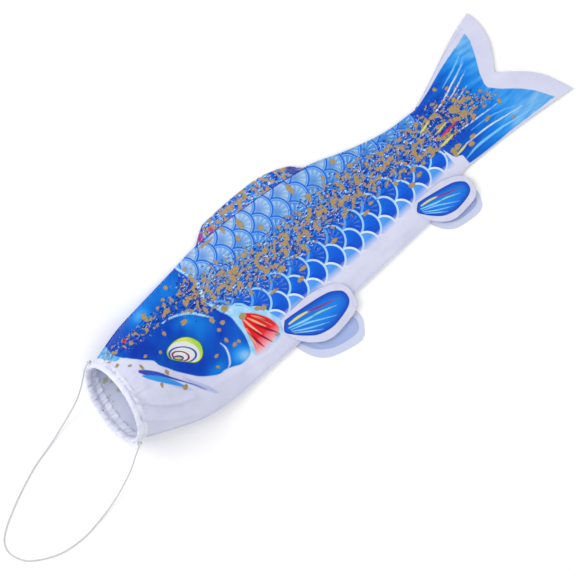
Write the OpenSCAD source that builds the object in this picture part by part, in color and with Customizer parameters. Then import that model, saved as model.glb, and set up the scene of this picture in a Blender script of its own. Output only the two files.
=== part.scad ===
// Carp streamer: a flat fabric carp with a hooped mouth, five fins, a forked tail and a cord bridle,
// lying on its right side. +X runs from the mouth to the tail, +Y to the back, +Z up from the surface.

/* [Mouth] */
// Radius of the wire hoop's centreline
hoop_r = 52.5; // [51.5:0.5:53.5]
// Diameter of the hoop wire
wire_d = 2.4; // [1.6:0.2:2.8]
// Lean of the hoop's top towards the tail, in degrees
hoop_lean = 21; // [19:1:22]
// Turn of the hoop's back end towards the tail, in degrees
hoop_yaw = 8; // [6:1:9]
// Outer diameter of the hem channel round the wire
channel_d = 6.8; // [6.6:0.2:7.2]

/* [Fabric] */
// Thickness of every fabric panel
fabric_t = 0.8; // [0.6:0.1:0.8]
// Height of the underside above the surface, which leaves room for the right fins
under_z = 1.3; // [1.2:0.1:1.5]
// Width of the seam allowance that stands out along the back and the belly
seam_w = 2.2; // [1.6:0.2:2.4]

/* [Body] */
// Station of the body's bend, between the back fin and the pelvic fins
bend_x = 400; // [394:1:404]
// Station of the tail's bend, at the narrow root of the tail
tail_x = 510; // [508:1:511]
// Half the gap between two fabric sections at a bend
bend_gap = 3.2; // [3:0.1:3.6]

/* [Fins] */
// Size of the pectoral fins against the fin pattern, which is 94 mm long
pectoral_size = 1; // [0.9:0.05:1.05]
// Size of the pelvic fins against the same pattern
pelvic_size = 0.8; // [0.7:0.05:0.8]
// Thickness of a fin
fin_t = 0.7; // [0.5:0.1:0.8]
// Height of the back fin above its root
back_fin_h = 17; // [12:1:20]

/* [Bridle] */
// Diameter of the bridle cord
cord_d = 1.8; // [1.6:0.1:2]
// Diameter of each bridle knot
knot_d = 5.2; // [4.6:0.2:5.6]

/* [Hidden] */

royal = "#1552d6";
sky = "#4aa6f2";
satin = "#e4e5f4";
thread = "#f4f4f8";
steel = "#a9adb2";
clear_pvc = "#cfd8dc";

// From the centre of the mouth on the surface to the middle of the whole object.
to_middle = [-327.8, 18.2, 0];

// The hem's lip ends on a circle that the two front panels start from.
lip_len = 4;
lip_r = hoop_r + 1;
hoop_z = hoop_r * cos(hoop_lean) + channel_d / 2;
front_x = lip_len * cos(hoop_lean) * cos(hoop_yaw);
front_y = -lip_len * cos(hoop_lean) * sin(hoop_yaw);
front_z = hoop_z - lip_len * sin(hoop_lean);
lip_rise = lip_r * cos(hoop_lean);

// Stations from which the body lies flat, and small gaps that keep neighbouring pieces apart.
flat_x = 140;
edge_gap = 0.05;
piece_gap = 0.1;

// Edges of the body in plan, and the heights of its crown and of its seams, each as [station, value].
back_edge = [
    [front_x, front_y + lip_r], [50, 65], [100, 71], [150, 76.5], [200, 82.5], [245, 83], [283, 81], [320, 77.5],
    [370, 69], [418, 52.5], [467, 40], [512, 37]
];
belly_edge = [
    [front_x, front_y - lip_r], [25, -63], [50, -74], [75, -84], [100, -89], [125, -90.5], [200, -89], [320, -85],
    [420, -79], [443, -77], [467, -70], [492, -61], [512, -56.5]
];
crown = [
    [front_x, front_z + lip_rise], [30, 91], [60, 73], [90, 51], [120, 32], [150, 21], [200, 16], [300, 14.5],
    [400, 10.5], [450, 8.5], [512, 5.4]
];
seam_rise = [
    [front_x, front_z], [30, 44], [60, 33], [90, 21.5], [120, 12.5], [150, 7.5], [200, 5], [400, 4], [512, 3.4]
];

// Smooth curve through points [x, y]: cubic spans whose end slopes follow the neighbouring points.
function slope(p, i) =
    let (a = max(i - 1, 0), b = min(i + 1, len(p) - 1)) (p[b][1] - p[a][1]) / (p[b][0] - p[a][0]);
function span_at(p, x) = max([0, for (i = [0:len(p) - 2]) if (x >= p[i][0]) i]);
function curve(p, x) =
    let (
        i = span_at(p, x),
        w = p[i + 1][0] - p[i][0],
        t = (x - p[i][0]) / w,
        m0 = slope(p, i) * w,
        m1 = slope(p, i + 1) * w
    )
    p[i][1] * (2 * t ^ 3 - 3 * t ^ 2 + 1) + m0 * (t ^ 3 - 2 * t ^ 2 + t)
        + p[i + 1][1] * (3 * t ^ 2 - 2 * t ^ 3) + m1 * (t ^ 3 - t ^ 2);

// Smooth line through points in space or in plan, at u from 0 at the first point to len - 1 at the last.
function line_at(p, u) =
    let (
        i = min(floor(u), len(p) - 2),
        t = u - i,
        a = p[max(i - 1, 0)],
        b = p[i],
        c = p[i + 1],
        d = p[min(i + 2, len(p) - 1)]
    )
    0.5 * (2 * b + (c - a) * t + (2 * a - 5 * b + 4 * c - d) * t ^ 2 + (3 * b - a - 3 * c + d) * t ^ 3);

// 1 at the mouth, easing to 0 where the body lies flat.
function roundness(x) = let (t = min(max((x - front_x) / (flat_x - front_x), 0), 1)) 1 - t * t * (3 - 2 * t);

function middle(x) = (curve(back_edge, x) + curve(belly_edge, x)) / 2;
function half_width(x) = (curve(back_edge, x) - curve(belly_edge, x)) / 2;

// A point of a panel at station x and angle a, 0 at the back seam and 180 at the belly seam, moved in by inset.
// The left panel is the upper half of the section (side 1) and the right panel the lower half (side -1).
function skin(side, x, a, inset) =
    let (
        r = roundness(x),
        power = side > 0 ? 1.35 - 0.35 * r : 0.4 + 0.6 * r,
        seam_z = curve(seam_rise, x),
        reach = (side > 0 ? curve(crown, x) - seam_z : seam_z - under_z) - inset,
        rise = side * (reach * sin(a) ^ power + edge_gap),
        across = (half_width(x) - inset) * cos(a),
        along = rise * tan(hoop_lean) * r,
        turn = hoop_yaw * r
    )
    [x + along * cos(turn) + across * sin(turn), middle(x) + across * cos(turn) - along * sin(turn), seam_z + rise];

// Height of the left panel's outside over a point in plan, where the body lies flat.
function top_z(x, y) =
    let (across = (y - middle(x)) / half_width(x), seam_z = curve(seam_rise, x))
    seam_z + (curve(crown, x) - seam_z) * sin(acos(across)) ^ 1.35;

// Closed shell between two grids of points, outer and inner, each a list of rows of equal length.
module shell(outer, inner) {
    rows = len(outer);
    cols = len(outer[0]);
    n = rows * cols;
    function at(i, j) = i * cols + j;
    points = concat([for (r = outer) each r], [for (r = inner) each r]);
    faces = concat(
        [for (i = [0:rows - 2], j = [0:cols - 2]) [at(i, j), at(i, j + 1), at(i + 1, j + 1), at(i + 1, j)]],
        [for (i = [0:rows - 2], j = [0:cols - 2])
            [n + at(i, j), n + at(i + 1, j), n + at(i + 1, j + 1), n + at(i, j + 1)]],
        [for (j = [0:cols - 2]) [at(0, j), n + at(0, j), n + at(0, j + 1), at(0, j + 1)]],
        [for (j = [0:cols - 2])
            [at(rows - 1, j), at(rows - 1, j + 1), n + at(rows - 1, j + 1), n + at(rows - 1, j)]],
        [for (i = [0:rows - 2]) [at(i, 0), at(i + 1, 0), n + at(i + 1, 0), n + at(i, 0)]],
        [for (i = [0:rows - 2])
            [at(i, cols - 1), n + at(i, cols - 1), n + at(i + 1, cols - 1), at(i + 1, cols - 1)]]
    );
    polyhedron(points, faces, convexity = 6);
}

// Stations of the front panels, closer together where the head opens to the mouth, of the rear panels and of
// the front seams, which start clear of the hem.
function stations(x0, x1, step) = let (n = ceil((x1 - x0) / step)) [for (i = [0:n]) x0 + (x1 - x0) * i / n];
front_stations = concat(stations(front_x + piece_gap, flat_x, 9), stations(160, bend_x - bend_gap, 24));
rear_stations = stations(bend_x + bend_gap, tail_x - bend_gap, 17);
seam_stations = [for (x = front_stations) max(x, front_x + 1.5)];
section_steps = 18;

// One fabric panel: side 1 is the left one, on top, and side -1 the right one, underneath.
module panel(side, at_stations) {
    angles = [for (k = [0:section_steps]) (side > 0 ? k : section_steps - k) * 180 / section_steps];
    color(sky) shell(
        [for (x = at_stations) [for (a = angles) skin(side, x, a, 0)]],
        [for (x = at_stations) [for (a = angles) skin(side, x, a, fabric_t)]]
    );
}

// Stitched seam allowance outside the panels: a flat ribbon along the back (edge 1) or the belly (edge -1).
module seam(edge, at_stations) {
    across = [0, edge, 0];
    up = [0, 0, edge * fabric_t / 2];
    rib = [for (x = at_stations) skin(1, x, edge > 0 ? 0 : 180, 0) + across * piece_gap];
    color(satin) shell(
        [for (p = rib) [p + across * seam_w + up, p + across * seam_w - up]],
        [for (p = rib) [p + up, p - up]]
    );
}

// The forked tail in plan: its free edge runs from the lower tip by the fork to the upper tip.
tail_root_x = tail_x + bend_gap;
lower_lobe = [[-66, 679], [-50, 672], [-33, 664], [-16, 651], [0, 632], [11, 618]];
upper_lobe = [[11, 618], [29, 630], [43, 637], [58, 641], [73, 641.5], [88, 639]];
back_corner = [tail_root_x, 37.5];
belly_corner = [tail_root_x, -56.5];
module tail_outline() {
    polygon(concat(
        [back_corner, belly_corner, [588, -58.5], [655, -63.5]],
        [for (y = [-66:7:11]) [curve(lower_lobe, y), y]],
        [for (y = [18:7:88]) [curve(upper_lobe, y), y]],
        [[600, 75.5], [560, 57.5]]
    ));
}

// One of the tail's two layers: level 0 is the right one, underneath, and level 1 the left one.
layer_gap = 0.5;
module tail_layer(level) {
    color(royal) translate([0, 0, under_z + level * (fabric_t + layer_gap)])
        linear_extrude(fabric_t) tail_outline();
}

// Stitch line that closes the tail along its back (edge 1) or its belly (edge -1), between the two layers.
module tail_seam(edge) {
    route = edge > 0
        ? [[tail_root_x + 2, 37], [560, 56], [600, 74], [630, 83]]
        : [[tail_root_x + 2, -55.5], [588, -57.5], [660, -62.5]];
    stitch_w = 2;
    color(satin) translate([0, 0, under_z + fabric_t]) linear_extrude(layer_gap)
        polygon(concat(route, [for (i = [len(route) - 1:-1:0]) route[i] - [0, edge * stitch_w]]));
}

// Moves its children from the hoop's own frame to the mouth. There +Z points into the body and +Y to the back.
module at_hoop() {
    translate([0, 0, hoop_z]) rotate([0, 0, -hoop_yaw]) rotate([0, 90 + hoop_lean, 0]) children();
}

// Hem: a channel of cloth round the wire, with a lip for the panels and a hole at each end of the bridle.
hole_d = cord_d + 0.2;
module mouth_hem() {
    color(satin) at_hoop() difference() {
        rotate_extrude($fn = 96) difference() {
            union() {
                translate([hoop_r, 0]) circle(d = channel_d, $fn = 32);
                translate([lip_r - fabric_t, 0]) square([fabric_t, lip_len]);
            }
            translate([hoop_r, 0]) circle(d = channel_d - 2 * fabric_t, $fn = 32);
        }
        for (side = [-1, 1])
            translate([0, side * hoop_r, 0]) rotate([-90 * side, 0, 0])
                cylinder(d = hole_d, h = channel_d, $fn = 24);
    }
}

// Stitches that close the hem's channel: a raised ring of thread on the outside of the lip.
module hem_stitches() {
    stitch = [0.4, 0.7];
    color(thread) at_hoop() rotate_extrude($fn = 96)
        translate([lip_r, lip_len - stitch[1]]) square(stitch);
}

// The wire's ends meet in a sleeve at the bottom of the mouth.
wire_gap = 1;
module mouth_hoop() {
    color(steel) at_hoop() rotate([0, 0, wire_gap / 2])
        rotate_extrude(angle = 360 - wire_gap, $fn = 96) translate([hoop_r, 0]) circle(d = wire_d, $fn = 24);
}

// Short tube that joins the wire's two ends inside the hem.
sleeve_arc = 22;
module hoop_sleeve() {
    color(clear_pvc) at_hoop() rotate([0, 0, -sleeve_arc / 2])
        rotate_extrude(angle = sleeve_arc, $fn = 96) translate([hoop_r, 0]) difference() {
            circle(d = wire_d + 1.2, $fn = 24);
            circle(d = wire_d + 0.1, $fn = 24);
        }
}

// A knot beside the hem, with the short end of cord that passes through the hem's hole to the wire.
knot_gap = 0.3;
tie_y = hoop_r + channel_d / 2 + knot_gap + knot_d / 2;
module bridle_knot(side) {
    end_y = hoop_r + wire_d / 2 + knot_gap;
    color(thread) at_hoop() union() {
        translate([0, side * tie_y, 0]) sphere(d = knot_d, $fn = 32);
        translate([0, side * end_y, 0]) rotate([-90 * side, 0, 0]) cylinder(d = cord_d, h = tie_y - end_y, $fn = 24);
    }
}

// Route of the bridle from the back knot to the belly knot: down from the knot to the surface, round in a
// loose loop in front of the mouth and up again.
laid_z = 1.1;
bridle_route = [
    [8, 58.5, 52.5], [-2, 54.5, 46.5], [-17, 43, 33], [-34, 32.5, 20.5], [-53, 25, 10.5], [-72, 18.5, 4.5],
    [-94, 11.5, 1.8], [-126, 3, laid_z], [-159, -10, laid_z], [-182, -21, laid_z], [-203, -33, laid_z],
    [-216, -45, laid_z], [-219, -60, laid_z], [-212, -76, laid_z], [-202, -85, laid_z], [-186, -94, laid_z],
    [-165, -101, laid_z], [-136, -103, laid_z], [-107, -99, 1.8], [-78, -92, 5], [-56, -84, 12.5],
    [-38, -76, 24], [-23, -67, 38], [-8, -58.5, 52.5]
];

function unit(v) = v / norm(v);

// Round tube of diameter d swept along the smooth line through the points p.
module tube(p, d, rings, sides) {
    spine = [for (k = [0:rings]) line_at(p, (len(p) - 1) * k / rings)];
    points = [
        for (k = [0:rings])
            let (
                along = unit(spine[min(k + 1, rings)] - spine[max(k - 1, 0)]),
                across = unit(cross([0, 0, 1], along)),
                up = cross(along, across)
            )
            for (s = [0:sides - 1])
                spine[k] + d / 2 * (across * cos(s * 360 / sides) + up * sin(s * 360 / sides))
    ];
    walls = [
        for (k = [0:rings - 1], s = [0:sides - 1])
            let (next = (s + 1) % sides)
            [k * sides + s, k * sides + next, (k + 1) * sides + next, (k + 1) * sides + s]
    ];
    ends = [[for (s = [sides - 1:-1:0]) s], [for (s = [0:sides - 1]) rings * sides + s]];
    polyhedron(points, concat(walls, ends), convexity = 10);
}

module bridle_cord() {
    color(thread) tube(bridle_route, cord_d, 78, 8);
}

// Pattern that all four side fins are cut from, in plan: its root on the Y axis, its tip along +X.
fin_pattern = [
    [0, 10], [14, 16], [46, 28], [76, 29], [90, 19], [94, 0], [89, -11], [73, -22], [52, -32], [33, -32],
    [13, -23], [0, -10]
];
module fin_outline(size) {
    polygon([for (u = [0:0.25:len(fin_pattern) - 1]) size * line_at(fin_pattern, u)]);
}

// Root of each side fin in plan, with its heading in degrees.
pectoral_left = [219, -63, -20];
pectoral_right = [221, -68, -43];
pelvic_left = [438, -56, -23];
pelvic_right = [440, -61.5, -34];

// Moves its children to a fin's root: on the slope of the left panel (side 1) or on the surface (side -1).
module at_root(side, root) {
    reach = 8;
    drop = top_z(root[0], root[1] + reach) - top_z(root[0], root[1] - reach);
    roll = side > 0 ? atan(drop / (2 * reach)) : 0;
    translate([root[0], root[1], side > 0 ? top_z(root[0], root[1]) : 0])
        rotate([roll, 0, 0]) rotate([0, 0, root[2]]) children();
}

fin_lift = [0.1, 0.5];
module side_fin(side, root, size) {
    color(royal) at_root(side, root) translate([0, 0, fin_lift[side > 0 ? 1 : 0]])
        linear_extrude(fin_t) fin_outline(size);
}

// Row of stitches that sews a fin's root to its panel: above the left panel or below the right one.
module root_stitches(side, root, size) {
    count = 5;
    pitch = 20 * size / count;
    stitch = [2.4, 0.8, 0.6];
    level = side > 0 ? 0.4 : under_z - piece_gap - stitch[2];
    color(thread) at_root(side, root)
        for (k = [0:count - 1])
            translate([-2 - stitch[0], (k - (count - 1) / 2) * pitch - stitch[1] / 2, level]) cube(stitch);
}

// Back fin: a low flap outside the back seam that droops from the seam to the surface. Its root is straight.
back_fin_root = [[200, 90], [360, 78.5]];
back_fin_len = norm(back_fin_root[1] - back_fin_root[0]);
back_fin_z = 4.6;
back_fin_droop = 12;
back_fin_rise = [[0, 0.12], [8, 0.38], [18, 0.56], [62, 0.88], [105, 1], [132, 0.74], [147, 0.4], [160, 0.06]];
module back_fin() {
    heading = atan2(back_fin_root[1][1] - back_fin_root[0][1], back_fin_root[1][0] - back_fin_root[0][0]);
    color(royal) translate([back_fin_root[0][0], back_fin_root[0][1], back_fin_z]) rotate([0, 0, heading])
        rotate([-back_fin_droop, 0, 0]) translate([0, 0, -fabric_t / 2]) linear_extrude(fabric_t)
            polygon(concat(
                [[0, 0]],
                [for (x = [0:4:160]) [x, back_fin_h * curve(back_fin_rise, x)]],
                [[160, 0]]
            ));
}

translate(to_middle) {
    panel(1, front_stations);  // body_left_front
    panel(-1, front_stations);  // body_right_front
    panel(1, rear_stations);  // body_left_rear
    panel(-1, rear_stations);  // body_right_rear
    tail_layer(1);  // tail_left
    tail_layer(0);  // tail_right
    mouth_hem();
    mouth_hoop();
    hoop_sleeve();
    hem_stitches();
    bridle_cord();
    bridle_knot(1);  // bridle_knot_back
    bridle_knot(-1);  // bridle_knot_belly
    seam(1, seam_stations);  // back_seam_front
    seam(1, rear_stations);  // back_seam_rear
    seam(-1, seam_stations);  // belly_seam_front
    seam(-1, rear_stations);  // belly_seam_rear
    tail_seam(1);  // tail_seam_back
    tail_seam(-1);  // tail_seam_belly
    back_fin();
    side_fin(1, pectoral_left, pectoral_size);  // pectoral_fin_left
    side_fin(-1, pectoral_right, pectoral_size);  // pectoral_fin_right
    side_fin(1, pelvic_left, pelvic_size);  // pelvic_fin_left
    side_fin(-1, pelvic_right, pelvic_size);  // pelvic_fin_right
    root_stitches(1, pectoral_left, pectoral_size);  // pectoral_stitches_left
    root_stitches(-1, pectoral_right, pectoral_size);  // pectoral_stitches_right
    root_stitches(1, pelvic_left, pelvic_size);  // pelvic_stitches_left
    root_stitches(-1, pelvic_right, pelvic_size);  // pelvic_stitches_right
}
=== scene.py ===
import math

import bpy
import numpy as np
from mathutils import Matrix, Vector


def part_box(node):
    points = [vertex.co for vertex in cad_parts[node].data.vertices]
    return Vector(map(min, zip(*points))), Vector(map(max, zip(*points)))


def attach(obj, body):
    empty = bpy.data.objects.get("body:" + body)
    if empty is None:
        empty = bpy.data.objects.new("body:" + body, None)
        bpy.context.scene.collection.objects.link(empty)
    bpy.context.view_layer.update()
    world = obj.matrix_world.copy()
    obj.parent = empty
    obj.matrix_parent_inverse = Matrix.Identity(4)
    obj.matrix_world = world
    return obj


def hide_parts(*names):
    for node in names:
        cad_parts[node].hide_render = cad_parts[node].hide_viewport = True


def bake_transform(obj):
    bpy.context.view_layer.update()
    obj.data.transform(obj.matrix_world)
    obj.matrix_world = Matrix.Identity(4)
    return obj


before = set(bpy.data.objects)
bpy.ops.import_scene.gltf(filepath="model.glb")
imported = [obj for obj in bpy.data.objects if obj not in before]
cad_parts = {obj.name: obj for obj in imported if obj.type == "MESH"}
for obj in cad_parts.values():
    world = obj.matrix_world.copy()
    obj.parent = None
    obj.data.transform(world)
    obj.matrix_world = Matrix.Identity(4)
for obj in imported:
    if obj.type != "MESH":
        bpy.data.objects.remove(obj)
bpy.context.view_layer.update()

# --- Table, light and camera -------------------------------------------------------------------------
# The streamer lies on white paper under a broad even light and is seen from straight above.
# Lengths are in millimetres in the mouth's frame: zero is on the table under the centre of the hoop, +X runs
# to the tail, +Y to the back and +Z up. placed() turns them into metres in the row's frame.
mouth_spot = np.array(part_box("mouth_hoop")).mean(axis=0) * [1, 1, 0]


def placed(points):
    """Metres in the row's frame: millimetres in the mouth's frame / 1000 + the place of the mouth."""
    return np.asarray(points, float) / 1000 + mouth_spot


def linear(code):
    """Linear colour of an sRGB hex code: ((c + 0.055) / 1.055) ** 2.4, and c / 12.92 for the darkest."""
    srgb = np.array([int(code[i:i + 2], 16) for i in (1, 3, 5)]) / 255
    lin = np.where(srgb <= 0.04045, srgb / 12.92, ((srgb + 0.055) / 1.055) ** 2.4)
    return (*lin.tolist(), 1.0)


def feed(tree, node, sockets):
    """Gives each of a node's named inputs its value, or links it to a node's first output or to a socket."""
    for name, value in sockets.items():
        if isinstance(value, bpy.types.Node):
            tree.links.new(value.outputs[0], node.inputs[name])
        elif isinstance(value, bpy.types.NodeSocket):
            tree.links.new(value, node.inputs[name])
        else:
            node.inputs[name].default_value = value


def add(tree, kind, sockets=None, **settings):
    """Adds one node, kind being its type without ShaderNode: settings are its properties, and sockets gives
    each input a value, a node or a link."""
    node = tree.nodes.new("ShaderNode" + kind)
    for name, value in settings.items():
        setattr(node, name, value)
    feed(tree, node, sockets or {})
    return node


def finish(name, **values):
    """A new material with its Principled shader: values are the shader's own sockets, _ for each space."""
    material = bpy.data.materials.new(name)
    material.use_nodes = True
    tree = material.node_tree
    tree.nodes.clear()
    shader = add(tree, "BsdfPrincipled", {k.replace("_", " "): v for k, v in values.items()})
    add(tree, "OutputMaterial", {"Surface": shader})
    return material, tree, shader


table_side = 9000
corners = np.array([[-1, -1, 0], [1, -1, 0], [1, 1, 0], [-1, 1, 0]]) * table_side / 2
table_mesh = bpy.data.meshes.new("paper_table")
table_mesh.from_pydata(placed(corners).tolist(), [], [(0, 1, 2, 3)])
table = bpy.data.objects.new("paper_table", table_mesh)
bpy.context.collection.objects.link(table)

# Uncoated white background paper: matt, with a tooth too fine to see, drawn 2 mm wide and very shallow.
paper, tree, shader = finish("Uncoated background paper", Base_Color=linear("#fefefe"), Roughness=0.95,
                             Specular_IOR_Level=0.05)
place = add(tree, "TexCoord")
tooth = add(tree, "TexNoise", {"Vector": place.outputs["Object"], "Scale": 500.0})
grain = add(tree, "Bump", {"Height": tooth, "Strength": 0.03, "Distance": 0.0001})
feed(tree, shader, {"Normal": grain})
table_mesh.materials.append(paper)

world = bpy.data.worlds.new("soft_studio")
world.use_nodes = True
world.node_tree.nodes["Background"].inputs["Color"].default_value = linear("#ffffff")
world.node_tree.nodes["Background"].inputs["Strength"].default_value = 0.72
bpy.context.scene.world = world
bpy.context.scene.view_settings.view_transform = "Standard"

for name, spot, side, power in (
    ("window_light", (-700, 1300, 1700), 1300, 18.0),
    ("overhead_light", (400, -200, 2600), 2000, 13.0),
):
    lamp = bpy.data.lights.new(name, "AREA")
    lamp.shape, lamp.size, lamp.energy = "SQUARE", side / 1000, power
    holder = bpy.data.objects.new(name, lamp)
    holder.location = placed(spot)
    towards = Vector(placed((200, 0, 0)) - placed(spot))
    holder.rotation_euler = towards.to_track_quat("-Z", "Y").to_euler()
    bpy.context.collection.objects.link(holder)

# A long lens from straight above, turned 40 degrees, over a square view 708 mm wide.
view_centre = placed((253, -29, 10))
lens, sensor, frame_width = 500.0, 36.0, 0.708
camera = bpy.data.objects.new("camera", bpy.data.cameras.new("camera"))
camera.data.lens, camera.data.sensor_width = lens, sensor
camera.location = view_centre + np.array([0, 0, frame_width * lens / sensor])
camera.rotation_euler = (0, 0, math.radians(-40))
bpy.context.collection.objects.link(camera)
bpy.context.scene.camera = camera

# --- Bridle cord and its knots ----------------------------------------------------------------------
# A limp white braided polyester cord, 1.8 mm thick, is tied to both ends of the mouth and lies in a loose
# loop in front of it. Each end has an overhand knot that sits outside the hem.
cord_d, cord_sides = 1.8, 14
laid_z = 1.1  # height of the cord's axis where it lies on the table
bridle_route = [
    (8, 58.5, 52.5), (-2, 54.5, 46.5), (-17, 43, 33), (-34, 32.5, 20.5), (-53, 25, 10.5), (-72, 18.5, 4.5),
    (-94, 11.5, 1.8), (-126, 3, laid_z), (-159, -10, laid_z), (-182, -21, laid_z), (-203, -33, laid_z),
    (-216, -45, laid_z), (-219, -60, laid_z), (-212, -76, laid_z), (-202, -85, laid_z), (-186, -94, laid_z),
    (-165, -101, laid_z), (-136, -103, laid_z), (-107, -99, 1.8), (-78, -92, 5), (-56, -84, 12.5),
    (-38, -76, 24), (-23, -67, 38), (-8, -58.5, 52.5),
]


def smooth_line(points, steps, closed=False):
    """Catmull-Rom curve: on each span, the cubic through its ends whose slopes follow the neighbours."""
    p = np.asarray(points, float)
    p = np.vstack([p[-1:], p, p[:2]]) if closed else np.vstack([2 * p[0] - p[1], p, 2 * p[-1] - p[-2]])
    a, b, c, d = p[:-3, None], p[1:-2, None], p[2:-1, None], p[3:, None]
    t = np.linspace(0, 1, steps, endpoint=False)[None, :, None]
    line = 0.5 * (2 * b + (c - a) * t + (2 * a - 5 * b + 4 * c - d) * t ** 2
                  + (3 * b - a - 3 * c + d) * t ** 3)
    line = line.reshape(-1, p.shape[1])
    return line if closed else np.vstack([line, p[-2]])


def piece(name, points, faces, fields=None, parts=None):
    """A smooth-shaded mesh of points in mm in the mouth's frame, with a named value or triple per point and,
    in parts, the number of the material on each face."""
    mesh = bpy.data.meshes.new(name)
    mesh.from_pydata(placed(points).tolist(), [], [list(face) for face in faces])
    for field, values in (fields or {}).items():
        kind, key = ("FLOAT_VECTOR", "vector") if np.ndim(values) == 2 else ("FLOAT", "value")
        mesh.attributes.new(field, kind, "POINT").data.foreach_set(key, np.ravel(values).astype(np.float32))
    if parts is not None:
        mesh.polygons.foreach_set("material_index", np.asarray(parts, np.int32))
    mesh.polygons.foreach_set("use_smooth", np.ones(len(mesh.polygons), bool))
    mesh.set_sharp_from_angle(angle=math.radians(60))
    made = bpy.data.objects.new(name, mesh)
    bpy.context.collection.objects.link(made)
    return made


def swept(route, radius, sides, closed=False):
    """Rings of a tube: route(s) + radius(s, a) * (across cos a + up sin a), up being square to the route."""
    spine = np.asarray(route, float)
    along = np.gradient(spine, axis=0)
    if closed:
        along = np.roll(spine, -1, axis=0) - np.roll(spine, 1, axis=0)
    along /= np.linalg.norm(along, axis=1, keepdims=True)
    across = np.cross([0, 0, 1], along)
    across /= np.linalg.norm(across, axis=1, keepdims=True) + 1e-9
    up = np.cross(along, across)
    a = np.arange(sides) * 2 * np.pi / sides
    spread = across[:, None] * np.cos(a)[None, :, None] + up[:, None] * np.sin(a)[None, :, None]
    return spine[:, None] + spread * np.broadcast_to(radius, (len(spine), sides))[:, :, None]


def skin_of(rings, rows_closed=False, columns_closed=True):
    """Quads between neighbouring rows and columns of a grid of points, closed round where asked."""
    rows, columns = rings.shape[:2]
    i = np.arange(rows if rows_closed else rows - 1)[:, None]
    j = np.arange(columns if columns_closed else columns - 1)[None, :]
    k, m = (i + 1) % rows, (j + 1) % columns
    quads = [i * columns + j, i * columns + m, k * columns + m, k * columns + j]
    return np.stack(np.broadcast_arrays(*quads), axis=-1).reshape(-1, 4)


def capped(rings):
    """A tube's points and faces with a fan on the mean point of each end ring."""
    rows, columns = rings.shape[:2]
    points = np.vstack([rings.reshape(-1, 3), rings[0].mean(axis=0), rings[-1].mean(axis=0)])
    j = np.arange(columns)
    m = (j + 1) % columns
    last = (rows - 1) * columns
    first_fan = np.stack([m, j, np.full(columns, rows * columns)], axis=1)
    last_fan = np.stack([last + j, last + m, np.full(columns, rows * columns + 1)], axis=1)
    return points, skin_of(rings).tolist() + first_fan.tolist() + last_fan.tolist()


route = smooth_line(bridle_route, 12)
run = np.concatenate([[0], np.cumsum(np.linalg.norm(np.diff(route, axis=0), axis=1))])
points, faces = capped(swept(route, cord_d / 2, cord_sides))
# Place on the cord: mm along it, share of a turn round it, and a spare 0.
turns = np.tile(np.arange(cord_sides) / cord_sides, len(run))
lie = np.stack([np.repeat(run, cord_sides), turns, np.zeros_like(turns)], axis=1)
cord = piece("bridle_cord_braid", points, faces, {"lie": np.vstack([lie, np.zeros((2, 3))])})

# Braided polyester: soft white strands that cross each other every 1.6 mm and lift in small diamonds.
braid, tree, shader = finish("Braided polyester cord", Base_Color=linear("#d0d1d5"), Roughness=0.7,
                             Sheen_Weight=0.25, Sheen_Roughness=0.4)
lie = add(tree, "Attribute", attribute_name="lie")
spots = add(tree, "SeparateXYZ", {0: lie.outputs["Vector"]})
strand_pitch = 1.6
heights = []
for sense in (1, -1):
    turn = add(tree, "Math", {0: spots.outputs[1], 1: 6.0 * sense}, operation="MULTIPLY")
    travel = add(tree, "Math", {0: spots.outputs[0], 1: 2 / strand_pitch, 2: turn},
                 operation="MULTIPLY_ADD")
    angle = add(tree, "Math", {0: travel, 1: math.pi}, operation="MULTIPLY")
    heights.append(add(tree, "Math", {0: angle}, operation="SINE"))
ridge = add(tree, "Math", {0: heights[0], 1: heights[1]}, operation="MAXIMUM")
# Painted shade: the cord's colour follows the strands' height, darker in the dips between them.
shade = add(tree, "MapRange", {"Value": ridge, "From Min": -1.0, "From Max": 1.0})
tone = add(tree, "Mix", {"Factor": shade, 6: linear("#b6b8be"), 7: linear("#d8d9dc")}, data_type="RGBA")
feed(tree, shader, {"Base Color": tone.outputs[2]})
lift = add(tree, "Bump", {"Height": ridge, "Strength": 0.7, "Distance": 0.0002})
feed(tree, shader, {"Normal": lift})
cord.data.materials.append(braid)
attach(cord, "bridle")
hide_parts("bridle_cord")

# Knots: the middle of the back one, and the way out of the mouth's end there, turned 8 degrees like the hoop.
knot_middle = np.array([8.2, 58.2, 52.41])
knot_out = np.array([0.139, 0.990, 0])
knot_strand_r, shank_r, shank_long, knot_sides = 1.05, 0.9, 5.4, 12
for name, side in (("bridle_knot_back", 1), ("bridle_knot_belly", -1)):
    out = knot_out * side
    centre = knot_middle * [side, side, 1]
    reach = np.cross(out, [0, 0, 1])
    a = np.linspace(0, 2 * np.pi, 64, endpoint=False)
    # An overhand knot pulled tight: the cord goes round its own axis twice while it circles once.
    loop = np.stack([(1.75 + 0.62 * np.cos(2 * a + 0.4)) * np.cos(a),
                     (1.75 + 0.62 * np.cos(2 * a)) * np.sin(a), 1.05 * np.sin(2 * a)], axis=1)
    wound = centre + loop[:, :1] * reach + loop[:, 1:2] * [0, 0, 1] + loop[:, 2:] * out
    ring = swept(wound, knot_strand_r, knot_sides, closed=True)
    tie = centre - out * np.linspace(0, 1, 12)[:, None] * shank_long
    shank, ends = capped(swept(tie, shank_r, knot_sides))
    points = np.vstack([ring.reshape(-1, 3), shank])
    faces = skin_of(ring, rows_closed=True).tolist()
    faces += [[n + ring[..., 0].size for n in face] for face in ends]
    lie = np.zeros((len(points), 3))
    lie[:, 0] = np.linspace(0, 12, len(points))
    lie[:, 1] = np.resize(np.arange(knot_sides) / knot_sides, len(points))
    knot = piece(name + "_tied", points, faces, {"lie": lie})
    knot.data.materials.append(braid)
    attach(knot, "front")
    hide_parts(name)

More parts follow.
